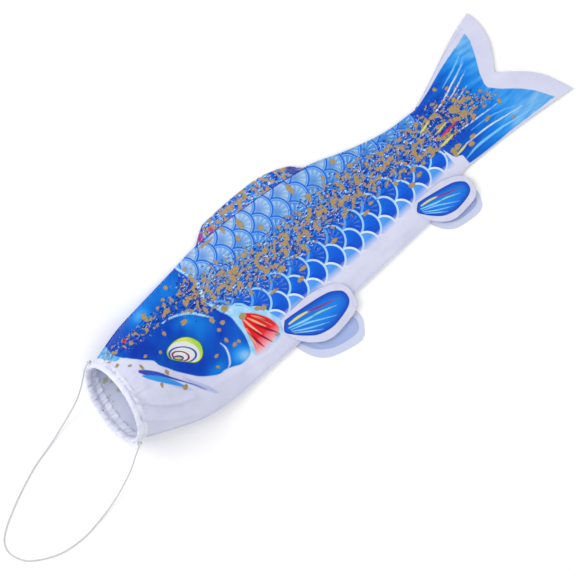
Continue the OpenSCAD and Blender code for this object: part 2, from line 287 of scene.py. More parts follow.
# --- Hoop and its sleeve ----------------------------------------------------------------------------
# A spring-steel wire keeps the mouth round, and a short clear tube joins its ends at the bottom. Both are
# inside the hem and carry over from the frame with drawn-wire and clear-vinyl finishes.
# Drawn steel wire: fine lines along its length give it a soft streaky shine.
wire, tree, shader = finish("Drawn spring steel wire", Base_Color=linear("#b4b6ba"), Metallic=1.0,
                            Roughness=0.35)
place = add(tree, "TexCoord")
draw = add(tree, "TexNoise", {"Vector": place.outputs["Object"], "Scale": 900.0, "Detail": 4.0})
gloss = add(tree, "MapRange", {"Value": draw, "To Min": 0.28, "To Max": 0.45})
feed(tree, shader, {"Roughness": gloss})
tone = add(tree, "Mix", {"Factor": draw, 6: linear("#9b9da2"), 7: linear("#c9cbcf")}, data_type="RGBA")
feed(tree, shader, {"Base Color": tone.outputs[2]})
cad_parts["mouth_hoop"].data.materials.clear()
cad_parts["mouth_hoop"].data.materials.append(wire)

# Clear vinyl tube: slightly yellow and cloudy, with a smooth wet-looking surface.
vinyl, tree, shader = finish("Clear vinyl tube", Base_Color=linear("#dfe5e4"), Roughness=0.2, IOR=1.53,
                             Transmission_Weight=0.6)
place = add(tree, "TexCoord")
cloud = add(tree, "TexNoise", {"Vector": place.outputs["Object"], "Scale": 260.0})
tone = add(tree, "Mix", {"Factor": cloud, 6: linear("#d3dbda"), 7: linear("#eef0ec")}, data_type="RGBA")
feed(tree, shader, {"Base Color": tone.outputs[2]})
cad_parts["hoop_sleeve"].data.materials.clear()
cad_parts["hoop_sleeve"].data.materials.append(vinyl)

# --- Body cloth: the shape of both panels ------------------------------------------------------------
# Two mirror-image panels of thin satin polyester, printed on the outside, are sewn together along the back
# and the belly. The hoop holds the front open, and the rest lies flat, so a section is a lens that flattens.
hoop_r = 52.5
lean, yaw = math.radians(21), math.radians(8)
lip = 4.0
hoop_z = hoop_r * math.cos(lean) + 3.4
front_x = lip * math.cos(lean) * math.cos(yaw)
front_y = -lip * math.cos(lean) * math.sin(yaw)
front_z = hoop_z - lip * math.sin(lean)
lip_r = hoop_r + 1
lip_rise = lip_r * math.cos(lean)
flat_x, under_z, edge_gap = 140.0, 1.3, 0.05
cloth_t = 0.28
body_end = 512.0

# [station, value] pairs: the edges of the body in plan, the height of its crown and that of its seams.
back_edge = [
    (front_x, front_y + lip_r), (50, 65), (100, 71), (150, 76.5), (200, 82.5), (245, 83), (283, 81),
    (320, 77.5), (370, 69), (418, 52.5), (467, 40), (512, 37),
]
belly_edge = [
    (front_x, front_y - lip_r), (25, -63), (50, -74), (75, -84), (100, -89), (125, -90.5), (200, -89),
    (320, -85), (420, -79), (443, -77), (467, -70), (492, -61), (512, -56.5),
]
crown = [
    (front_x, front_z + lip_rise), (30, 91), (60, 73), (90, 51), (120, 32), (150, 21), (200, 16), (300, 14.5),
    (400, 10.5), (450, 8.5), (512, 5.4),
]
seam_rise = [
    (front_x, front_z), (30, 44), (60, 33), (90, 21.5), (120, 12.5), (150, 7.5), (200, 5), (400, 4),
    (512, 3.4),
]


def curve(table, x):
    """Smooth curve through [x, y] pairs: cubic spans whose end slopes follow the neighbouring points."""
    p = np.array(table, float)
    x = np.asarray(x, float)
    n = len(p)
    i = np.clip(np.searchsorted(p[:, 0], x, side="right") - 1, 0, n - 2)
    before, after = np.maximum(np.arange(n) - 1, 0), np.minimum(np.arange(n) + 1, n - 1)
    slopes = (p[after, 1] - p[before, 1]) / (p[after, 0] - p[before, 0])
    w = p[i + 1, 0] - p[i, 0]
    t = np.clip((x - p[i, 0]) / w, 0, 1)
    return (p[i, 1] * (2 * t ** 3 - 3 * t ** 2 + 1) + slopes[i] * w * (t ** 3 - 2 * t ** 2 + t)
            + p[i + 1, 1] * (3 * t ** 2 - 2 * t ** 3) + slopes[i + 1] * w * (t ** 3 - t ** 2))


def section_point(side, x, a, inset=0.0):
    """Point of a panel at station x and angle a, 0 at the back seam and pi at the belly seam: across is
    (half - inset) cos a and rise is (reach - inset) sin a ^ power, leant and turned like the hoop near it."""
    t = np.clip((x - front_x) / (flat_x - front_x), 0, 1)
    r = 1 - t * t * (3 - 2 * t)
    power = 1.35 - 0.35 * r if side > 0 else 0.4 + 0.6 * r
    back, belly, seam_z = curve(back_edge, x), curve(belly_edge, x), curve(seam_rise, x)
    reach = (curve(crown, x) - seam_z if side > 0 else seam_z - under_z) - inset
    rise = side * (reach * np.clip(np.sin(a), 0, 1) ** power + edge_gap)
    across = ((back - belly) / 2 - inset) * np.cos(a)
    along = rise * math.tan(lean) * r
    turn = yaw * r
    return np.stack([x + along * np.cos(turn) + across * np.sin(turn),
                     (back + belly) / 2 + across * np.cos(turn) - along * np.sin(turn),
                     seam_z + rise], axis=-1)


def girth_angles(rows):
    """Angles from 0 to pi, half way between even angles and even steps across, so rows stay evenly spaced."""
    v = np.linspace(0, 1, rows)
    return 0.45 * np.pi * v + 0.55 * np.arccos(1 - 2 * v)


# The forked tail: its free edge runs from the lower tip by the fork to the upper tip.
split_x, root_x = 455.0, 513.2
lower_lobe = [(-66, 679), (-50, 672), (-33, 664), (-16, 651), (0, 632), (11, 618)]
upper_lobe = [(11, 618), (29, 630), (43, 637), (58, 641), (73, 641.5), (88, 639)]
tail_back = np.array([(root_x, 37.5), (560, 57.5), (600, 75.5), (639, 88)])
tail_belly = np.array([(root_x, -56.5), (588, -58.5), (655, -63.5), (679, -66)])


front_rows, front_columns = 328, 140
rear_rows, tail_rows, rear_columns = 44, 104, 100
tail_level = {1: 3.1, -1: 1.75}  # heights of the two layers of the laid tail
tail_long = 150  # what the station counts over the tail, whose lobes are shorter and longer


def along_line(points, share):
    """Point at a share of the length of the broken line through points."""
    step = np.concatenate([[0], np.cumsum(np.linalg.norm(np.diff(points, axis=0), axis=1))])
    return np.stack([np.interp(share * step[-1], step, values) for values in points.T], axis=-1)


def tail_plan(share, across):
    """Coons patch of the tail, at a share of its length and across from the back edge, 0, to the belly edge,
    1: point = between root and free edge + between back and belly edges - between the four corners."""
    root = np.stack([np.full_like(across, root_x), 37.5 - 94 * across], axis=-1)
    y = 88 - 154 * across
    fork_y = upper_lobe[0][0]
    reach = np.where(y > fork_y, curve(upper_lobe, np.maximum(y, fork_y)), curve(lower_lobe, y))
    free = np.stack([reach, y], axis=-1)
    back, belly = along_line(smooth_line(tail_back, 8), share), along_line(smooth_line(tail_belly, 8), share)
    u, v = share[..., None], across[..., None]
    corner = ((1 - u) * (1 - v) * tail_back[0] + u * (1 - v) * tail_back[-1]
              + (1 - u) * v * tail_belly[0] + u * v * tail_belly[-1])
    return (1 - u) * root + u * free + (1 - v) * back + v * belly - corner


def panel_grid(side, end):
    """Grid of a panel's outside and its stations, columns from the back seam to the belly seam. The front end
    runs from the mouth to the split, and the rear end from there to the tail's free edge."""
    if end == "front":
        stations = np.linspace(front_x, split_x, front_rows)
        x, a = np.meshgrid(stations, girth_angles(front_columns), indexing="ij")
        return section_point(side, x, a), x
    turns = girth_angles(rear_columns)
    x, a = np.meshgrid(np.linspace(split_x, root_x, rear_rows), turns, indexing="ij")
    body = section_point(side, np.minimum(x, body_end), a)
    body[..., 0] += np.maximum(x - body_end, 0)
    share, across = np.meshgrid(np.linspace(0, 1, tail_rows), (1 - np.cos(turns)) / 2, indexing="ij")
    drop = (1 - share) ** 3
    level = body[-1, :, 2][None] * drop + tail_level[side] * (1 - drop)
    tail = np.dstack([tail_plan(share, across), level])[1:]
    return np.concatenate([body, tail]), np.concatenate([x, root_x + share[1:] * tail_long])


def hills(seed, x, y, length, octaves=2):
    """Smooth random hills about 0: sums of sines of random heading, each octave half as long and as high."""
    rng = np.random.default_rng(seed)
    total = np.zeros_like(x)
    for octave in range(octaves):
        for _ in range(7):
            heading, phase = rng.uniform(0, 2 * np.pi, 2)
            wave = 2 * np.pi / (length / 2 ** octave) * rng.uniform(0.7, 1.4)
            total += np.sin(wave * (x * np.cos(heading) + y * np.sin(heading)) + phase) / 2 ** octave
    return total / 3.5


def near_line(x, y, line, width):
    """exp(-(distance / width)^1.3) to a smooth line in the plane: a fold with a crisp crest."""
    away = distance(np.stack([x, y], axis=-1), smooth_line(line, 5))
    return np.exp(-(away / width) ** 1.3)


def distance(spots, line, closed=False):
    """Distance from each spot to a line, less than 0 inside where the line is closed (even-odd rule)."""
    shape = spots.shape[:-1]
    flat = spots.reshape(-1, 2)
    a = line
    b = np.roll(line, -1, axis=0)
    if not closed:
        a, b = a[:-1], b[:-1]
    best = np.full(len(flat), 1e18)
    inside = np.zeros(len(flat), bool)
    for (ax, ay), (bx, by) in zip(a, b):
        ex, ey = bx - ax, by - ay
        gx, gy = flat[:, 0] - ax, flat[:, 1] - ay
        t = np.clip((gx * ex + gy * ey) / (ex * ex + ey * ey + 1e-12), 0, 1)
        best = np.minimum(best, (gx - ex * t) ** 2 + (gy - ey * t) ** 2)
        if closed and ay != by:
            inside ^= ((ay > flat[:, 1]) != (by > flat[:, 1])) & (gx < ex * gy / ey)
    best = np.sqrt(best)
    return np.where(inside, -best, best).reshape(shape)


def outward(grid):
    """Unit normals of a grid: the cross product of its two directions, up for either panel."""
    n = np.cross(np.gradient(grid, axis=1), np.gradient(grid, axis=0))
    return n / (np.linalg.norm(n, axis=-1, keepdims=True) + 1e-9)


def girth_run(grid):
    """Length along each row of a grid, from its first point."""
    step = np.linalg.norm(np.diff(grid, axis=1), axis=-1)
    return np.concatenate([np.zeros((len(grid), 1)), np.cumsum(step, axis=1)], axis=1)


# Soft folds that the open mouth pulls into the left panel: lines in plan, with their height and half width.
mouth_folds = [
    ([(24, 42), (22, 12), (24, -16)], 2.8, 3.0),
    ([(30, 40), (29, 10), (33, -14)], -1.5, 4.0),
    ([(23, -14), (36, -32), (56, -48), (80, -58)], 4.0, 3.2),
    ([(30, -30), (44, -46), (62, -58)], -4.2, 7.0),
    ([(14, -34), (26, -48), (48, -64), (72, -76)], 3.2, 3.4),
    ([(62, -8), (76, -30), (92, -50), (104, -62)], 2.0, 3.6),
    ([(50, -14), (64, -36), (78, -48)], -1.4, 5.0),
    ([(110, -64), (150, -70), (190, -76)], 1.2, 5.0),
    ([(300, -66), (360, -68), (425, -70)], 0.9, 6.0),
]
fold_lines = [(np.array(line, float), height, width) for line, height, width in mouth_folds]


def settled(side, grid, station, seed):
    """A panel with its folds: grid + normal * (gathers that fade behind the hem + soft folds + hills +
    puckers along the seams), all 0 on the seams themselves and weaker where the panel lies low."""
    across = np.linspace(0, 1, grid.shape[1])[None]
    run = girth_run(grid)
    from_seam = np.minimum(run, run[:, -1:] - run)
    hold = 1 - np.exp(-(from_seam / 5) ** 2)
    a = np.pi * across
    gather = (np.sin(23 * a + 0.7 + side) + np.sin(37 * a + 2.1) + 0.8 * np.sin(51 * a + 4 * side)) / 2.4
    height = 1.1 * gather * np.exp(-(station - front_x) / 16) * hold
    x, y = grid[..., 0], grid[..., 1]
    flatness = np.clip((station - 20) / 60, 0, 1)
    height += hold * (0.45 + 0.25 * flatness) * hills(seed, x, y, 70) * (1 if side > 0 else 0.3)
    height += hold * 0.12 * hills(seed + 1, x, y, 16, 3)
    pucker = np.sin(station * 2 * np.pi / 7.3 + 1.5 * hills(seed + 2, x, y, 30))
    height += 0.28 * pucker * np.exp(-from_seam / 7) * (1 - np.exp(-(from_seam / 1.5) ** 2))
    if side > 0:
        for line, rise, width in fold_lines:
            height += rise * near_line(x, y, line, width) * hold
    thin = np.clip((grid[..., 2] - 2.0) / 6, 0.12 if side > 0 else 0.05, 1)
    return grid + outward(grid) * side * (height * thin)[..., None]


def girth_place(grid):
    """Length round each section of a panel in mm, 0 where y is 0 and growing towards the back."""
    y, run = grid[..., 1], girth_run(grid)
    middle = np.abs(y).argmin(axis=1)[:, None]
    return np.take_along_axis(run, middle, 1) + np.take_along_axis(y, middle, 1) - run


grids = {}
for side in (1, -1):
    for end in ("front", "rear"):
        grid, station = panel_grid(side, end)
        grids[side, end] = (grid, station, girth_place(grid))
# The left panel in plan, and the same points as places on the cloth: along it and round it. The rear end
# counts along by x instead of by the station, which agree as far as the tail.
plan_spots = np.concatenate([grids[1, end][0][..., :2].reshape(-1, 2) for end in ("front", "rear")])
along_spots = (grids[1, "front"][1], grids[1, "rear"][0][..., 0])
cloth_spots = np.concatenate([np.stack([along.ravel(), grids[1, end][2].ravel()], axis=1)
                              for along, end in zip(along_spots, ("front", "rear"))])


def on_cloth(points):
    """Place on the cloth of points in plan on the left panel: the mean of the 4 nearest grid points' places,
    weighted by 1 / distance^2."""
    points = np.asarray(points, float)
    gap = ((plan_spots[:, None] - points[None]) ** 2).sum(axis=-1)
    near = np.argpartition(gap, 4, axis=0)[:4]
    weight = 1 / (np.take_along_axis(gap, near, 0) + 1e-4)
    weight /= weight.sum(axis=0)
    place = (cloth_spots[near] * weight[..., None]).sum(axis=0)
    past = np.maximum(points[:, 1] - curve(back_edge, points[:, 0]), 0)
    past -= np.maximum(curve(belly_edge, points[:, 0]) - points[:, 1], 0)
    past *= points[:, 0] < back_edge[-1][0]
    return place + np.stack([np.zeros_like(past), past], axis=-1)


# --- Body cloth: the print --------------------------------------------------------------------------
# The print is dyed through the cloth: a blue head with an eye, a gill with a red patch, rows of scales, a
# tail with rays, and flakes of dull gold ink. Outlines are in plan on the left panel, as [x, y] in mm.
print_outlines = {
    "head": [
        (33, 74), (96, 84), (160, 92), (162, 77), (167, 62), (168, 45), (163, 26), (170, 4), (176, -10),
        (176, -24), (175, -40), (170, -55), (164, -62), (150, -64), (140, -60), (130, -56.5), (121, -56),
        (110, -50), (100, -42), (91, -31), (83, -20), (77, -10), (71, 0), (69, 9), (60, 18), (50, 28),
        (41, 38), (36, 47),
    ],
    "lip": [(18, 72), (26, 73), (34, 74), (36, 47), (41, 38), (36, 37), (28, 44), (22, 52)],
    "gill": [
        (162, 24), (172, 12), (182, 2), (195, -9), (207, -22), (216, -38), (221, -55), (214, -66), (196, -70),
        (172, -69), (168, -55), (175, -40), (176, -24), (176, -10), (170, 4), (163, 14),
    ],
    "red": [
        (187, -17), (196, -21), (205, -31), (212, -44), (214, -58), (208, -64), (190, -69), (172, -68),
        (177, -52), (180, -36), (184, -23),
    ],
    "eye": [
        (86, 0), (88, 6), (94, 10), (104, 11.2), (114, 9), (121, 4), (126, -4), (127.5, -12), (125, -20),
        (120, -26), (113, -28), (106, -26), (99, -19), (92, -11), (87, -4),
    ],
    "tail": [
        (505, 39), (520, 39.5), (540, 45.5), (560, 53), (580, 59.5), (600, 65), (621, 70.5), (620, 60),
        (614.5, 45), (603.5, 22), (599.5, 8), (600, 2), (612, -10),
        (630, -25), (645, -42), (656, -60), (590, -57), (523, -55), (523, -42), (513, -36), (508, -20),
        (510, 0), (509, 20),
    ],
}
sharp_outlines = ("tail",)
# Strokes: the points of each line, with half its width at each.
print_strokes = {
    "brow": [[(106, 37, .6), (118, 35.5, 1.1), (131, 31, 1.5), (142, 24, 1.6), (151, 13, 1.4), (159, 2, .5)]],
    "crescent": [[(146, -27, .4), (147, -36, 1), (144, -46, 1.1), (139, -54, 1), (134, -57, .4)]],
    "collar": [[(161, 79, 2.6), (166, 66, 2.6), (169.5, 48, 2.8), (168, 36, 2.4), (165, 28, 1.4)]],
    "upper_mouth": [[(49, 9, 2.2), (54, 3, 3.5), (60, -4, 3.4), (66, -12, 2.6), (72, -21, 1.7),
                     (78, -30, 1.2), (84, -39, .9), (90, -49, .7), (96, -60, .3)]],
    "lower_mouth": [[(48, 3, .8), (51.5, -1, 2.2), (57, -8, 3.2), (63, -16, 3.4), (69, -25, 2.9),
                     (74.5, -33, 2.0), (80, -42, .5)]],
    # Painted shade: lavender strokes along the folds that the open mouth pulls into the cloth.
    "mouth_shade": [
        [(84, -30, .6), (90, -44, 2.4), (97, -58, 3.0), (104, -71, 1.2)],
        [(57, -12, .5), (68, -26, 2.0), (78, -42, 1.6), (84, -50, .5)],
    ],
    "red_streaks": [
        [(180, -38, .4), (182, -53, 1.4), (184, -66, .6)], [(185, -34, .4), (190, -52, 1.4), (196, -67, .6)],
        [(193, -36, .4), (201, -51, 1.5), (208, -62, .6)], [(200, -30, .3), (206, -42, .9), (211, -54, .3)],
    ],
    "gill_streaks": [
        [(186, -22, .9), (188, -36, 1.4), (192, -52, .5)], [(191, -25, .6), (196, -35, 1.3), (202, -48, .5)],
        [(182, -34, .6), (180, -46, 1.2), (178, -60, .6)], [(197, -26, .5), (204, -37, 1.2), (209, -52, .4)],
    ],
    "rays_white": [
        [(520, 18, .4), (534, 21, .9), (548, 25, 1), (572, 35, .8), (598, 46, .2)],
        [(548, 20, .3), (566, 25, .8), (592, 36, .2)], [(563, -4, .3), (580, -4, .6), (600, -4, .2)],
        [(530, -15, .5), (550, -17, .8), (575, -19, .7), (602, -21, .2)],
        [(535, -34, .5), (565, -35, .9), (590, -38, .7), (618, -42, .2)],
        [(540, 8, .3), (560, 14, .7), (582, 20, .2)],
    ],
    "rays_cyan": [
        [(556, 37, .3), (580, 46, 1.0), (606, 59, .2)], [(572, 33, .2), (588, 42, .7), (602, 51, .2)],
        [(550, -25, .3), (580, -27, .7), (612, -36, .2)],
        [(524, -48, .4), (545, -45, 1.5), (575, -46, 1.4), (605, -50, .9), (636, -55, .2)],
    ],
    "rays_yellow": [
        [(500, 12, .6), (508, 14, 1.3), (517, 17, .6)], [(509, -17, .8), (518, -16, 1.6), (530, -15, .7)],
        [(519, -37, .8), (527, -36, 1.4), (537, -34, .6)], [(513, -1, .5), (522, 0, 1.0), (532, 2, .5)],
    ],
    "rays_red": [[(519, -8, .8), (526, -6.5, 1.4), (545, -5, .8)]],
    "tail_hem": [[(536, 49, .4), (560, 58.5, .4), (590, 69.5, .4), (622, 78, .4)]],
}
# Large flakes of gold, as [x, y, half length along, half length across].
large_flakes = [
    (95, 57, 3.6, 5.6), (128, 21, 4.8, 2.8), (54, 11, 2, 4), (73, -13, 2.6, 3.4), (59, -21, 2, 3),
    (79, -41, 3.4, 3.2),
    (33, 33, 3.4, 1.8), (44, 22, 2.2, 1.6), (66, 19, 2.6, 2.2), (83, 11, 2.6, 2.2), (101, 26, 2.4, 3.2),
    (120, 45, 4.4, 3), (158, 15, 2.4, 5), (156, 1, 2.6, 4.4), (155, -14, 2.4, 2.4), (164, -10, 3, 2.8),
    (154, -29, 2, 3.2), (158, -40, 3, 2.4), (165, -40, 2, 2.4), (125, -48, 2.6, 2), (132, -37, 3, 1.8),
    (27, 42, 2, 1.4), (24, 47, 1.6, 3), (114, 55, 2.8, 2), (126, 59, 2.8, 2.2), (138, 68, 2.4, 2.8),
    (177, 2, 4.2, 4.6), (188, -20, 4.6, 4), (170, 70, 3, 2), (169, 56, 2.4, 5), (205, 52, 2.6, 2.4),
    (210, 78, 9, 1.6), (237, 37, 3.4, 4), (275, 50, 3.2, 3.2), (245, 57, 3, 3.8), (258, 70, 3.2, 8),
    (333, 63, 3.2, 7), (345, 42, 4, 2.6), (373, 47, 2.8, 2.8), (395, 55, 3, 4), (408, 37, 3.6, 3.2),
    (237, -21, 6, 2), (272, -31, 4.6, 2.8), (283, -22, 5, 2.4), (334, -21, 5, 2.4), (386, -20, 4.6, 2.2),
    (451, -30, 4.4, 3), (466, -26, 4.2, 2.4), (398, -14, 3, 2), (437, -16, 2.8, 2.8), (262, -6, 5, 4),
    (481, -10, 2.8, 3.4), (496, -14, 3, 5), (215, -28, 4, 3), (208, -24, 3, 3), (237, 79, 2, 6),
    (207, -64, 3, 1.8), (216, 28, 4, 3.4), (208, 25, 3.6, 3), (204, 19, 4, 2.2), (548, 42, 2.4, 2.4),
    (571, 8, 3, 2), (590, 5, 2.6, 2.8), (600, -20, 2.4, 4),
    (575, -27, 4.6, 2.2), (547, -32, 4, 2.4), (540, -38, 4, 3), (524, -30, 5, 3.4), (517, -33, 3.4, 6),
    (601, -46, 2.4, 2), (556, -4, 5, 5), (550, 9, 6, 4), (534, 30, 3, 1.6), (560, 34, 2.6, 2),
    (526, 18, 6, 3),
]
# Lines that the fine gold follows, with the half width where it is dense and where it ends.
gold_lines = [
    ([(38, 50), (60, 47), (100, 46), (140, 46), (165, 45)], 7, 18),
    ([(158, 38), (170, 34), (200, 26), (240, 16), (300, 14), (360, 16), (420, 14), (460, 8), (500, 4),
      (535, 4)], 11, 42),
    ([(500, 0), (530, 2), (560, 2)], 16, 34),
    ([(560, 0), (588, -6)], 0, 24),
]


far_off = 1e3  # the distance in mm that stands for nowhere near


def misses(line, spots, room=10):
    """Whether a line stays more than room mm before or behind every spot."""
    return line[:, 0].min() > spots[..., 0].max() + room or line[:, 0].max() < spots[..., 0].min() - room


def outline_field(spots, name, steps=6):
    """Signed distance to a printed outline on the cloth, smoothed through its points unless it is sharp."""
    line = on_cloth(print_outlines[name])
    if misses(line, spots):
        return np.full(spots.shape[:-1], far_off)
    if name not in sharp_outlines:
        line = smooth_line(line, steps, closed=True)
    return distance(spots, line, closed=True)


def stroke_field(spots, lines, steps=5, laid=on_cloth):
    """Distance to the nearest of some brush strokes less its half width, which changes along it. laid turns
    the points of a stroke into places on the cloth."""
    best = np.full(spots.shape[:-1], far_off)
    for line in lines:
        line = np.array(line, float)
        drawn = smooth_line(np.hstack([laid(line[:, :2]), line[:, 2:]]), steps)
        if misses(drawn, spots):
            continue
        flat = spots.reshape(-1, 2)
        for a, b in zip(drawn[:-1], drawn[1:]):
            e = b[:2] - a[:2]
            t = np.clip(((flat - a[:2]) @ e) / (e @ e + 1e-9), 0, 1)
            gap = np.linalg.norm(flat - a[:2] - t[:, None] * e, axis=1) - (a[2] + (b[2] - a[2]) * t)
            best = np.minimum(best, gap.reshape(best.shape))
    return best


# Lighter and darker places of the head, as [how much, x, y, half length along, half length across].
head_tones = [
    (0.34, 88, 61, 20, 14), (0.26, 125, 70, 45, 22), (0.20, 140, 2, 18, 24), (0.22, 128, 22, 16, 9),
    (0.28, 124, -51, 15, 9), (0.62, 158, -58, 16, 13), (0.12, 160, -40, 10, 10), (-0.08, 66, 28, 22, 16),
    (-0.06, 100, -33, 22, 9),
]


def bump_at(spots, x, y, wide, high):
    """exp(-((p - x) / wide)^2 - ((q - y) / high)^2) about a point given in plan."""
    centre = on_cloth([(x, y)])[0]
    return np.exp(-((spots[..., 0] - centre[0]) / wide) ** 2 - ((spots[..., 1] - centre[1]) / high) ** 2)


# Outlines and strokes that share an attribute, three to each.
drawn_fields = {
    "head_fields": ("head", "gill", "red"), "lip_fields": ("lip", "eye", "brow"),
    "mouth_fields": ("upper_mouth", "lower_mouth", "crescent"),
    "streak_fields": ("red_streaks", "gill_streaks", "collar"),
    "tail_fields": ("tail", "rays_white", "rays_cyan"), "ray_fields": ("rays_yellow", "rays_red", "tail_hem"),
}
# The lattice of scales: radius, pitch along a row and gap between rows.
scale_r, scale_pitch, row_gap = 19.5, 30.2, 17.5


def print_fields(spots):
    """Every field of the print, and of the painted shade by the mouth's folds, at places on the cloth, three
    to an attribute.
    """
    p, q = spots[..., 0], spots[..., 1]
    drawn = {name: outline_field(spots, name) for name in print_outlines}
    drawn.update({name: stroke_field(spots, lines) for name, lines in print_strokes.items()})
    flakes = np.full(p.shape, far_off)
    for x, y, wide, high in large_flakes:
        centre = on_cloth([(x, y)])[0]
        size = np.sqrt(((p - centre[0]) / wide) ** 2 + ((q - centre[1]) / high) ** 2)
        flakes = np.minimum(flakes, (size - 1) * min(wide, high))
    flakes += 0.9 * hills(40, p, q, 6, 2) * 0.7
    gold = np.zeros(p.shape)
    for line, core, end in gold_lines:
        away = distance(spots, smooth_line(on_cloth(line), 4))
        dense = 0.75 if end < 20 else 1
        gold = np.maximum(gold, np.clip(1 - (away - core) / (end - core), 0, 1) * dense)
    gold *= np.clip((q + 30) / 12, 0, 1)
    # Tone of the head and the tail, 0 navy, 0.35 royal, 0.65 azure and 1 pale cyan.
    tone = 0.35 + 0.06 * hills(41, p, q, 40)
    for much, *place in head_tones:
        tone += much * bump_at(spots, *place)
    tail_tone = 0.38 + 0.40 * np.clip((p - 540) / 65, 0, 1) + 0.05 * hills(42, p, q * 3, 40)
    tail_tone += 0.10 * np.clip((40 - np.abs(q - 5)) / -20, 0, 1)
    tone = np.where(p > 500, tail_tone, tone)
    # Places on the lattice of scales, whose rows rise and close up towards the tail.
    k = (p - 246) / scale_pitch
    first_row = np.interp(p, [0, 340, 393, 449, 506], [-36, -36, -34, -30, -27])
    close = np.interp(p, [0, 440, 480, 520], [1, 1, 0.9, 0.86])
    scales = np.minimum(drawn["head"], drawn["gill"])
    fields = {
        "lie": (p, q, gold),
        "lattice": (p - 226.5 + 0.15 * k * k * np.sign(k), (q - first_row) / close, scales),
        "tones": (flakes, tone, drawn["mouth_shade"]),
    }
    fields.update({name: [drawn[part] for part in parts] for name, parts in drawn_fields.items()})
    return {name: np.stack(values, axis=-1) for name, values in fields.items()}


def over(tree, under, colour, field, edge=0.35, most=1.0):
    """Paints a colour, a socket or an sRGB hex code, over what is under it where a signed distance in mm is
    below 0, through a soft edge."""
    if isinstance(colour, str):
        colour = linear(colour)
    cover = add(tree, "MapRange", {"Value": field, "From Min": edge, "From Max": -edge, "To Max": most})
    return add(tree, "Mix", {"Factor": cover, 6: under, 7: colour}, data_type="RGBA").outputs[2]


def layered(tree, colour, *coats):
    """Paints coats of [colour, field, edge, most] one over another."""
    for coat in coats:
        colour = over(tree, colour, *coat)
    return colour


def triple(tree, name):
    """The three fields of one attribute."""
    values = add(tree, "Attribute", attribute_name=name)
    return add(tree, "SeparateXYZ", {0: values.outputs["Vector"]}).outputs


def ramp(tree, factor, stops):
    """Colour by a factor from 0 to 1 through stops of [place, sRGB hex]."""
    node = add(tree, "ValToRGB", {"Fac": factor})
    elements = node.color_ramp.elements
    while len(elements) < len(stops):
        elements.new(0.5)
    for element, (where, code) in zip(elements, stops):
        element.position = where
        element.color = linear(code)
    return node.outputs[0]


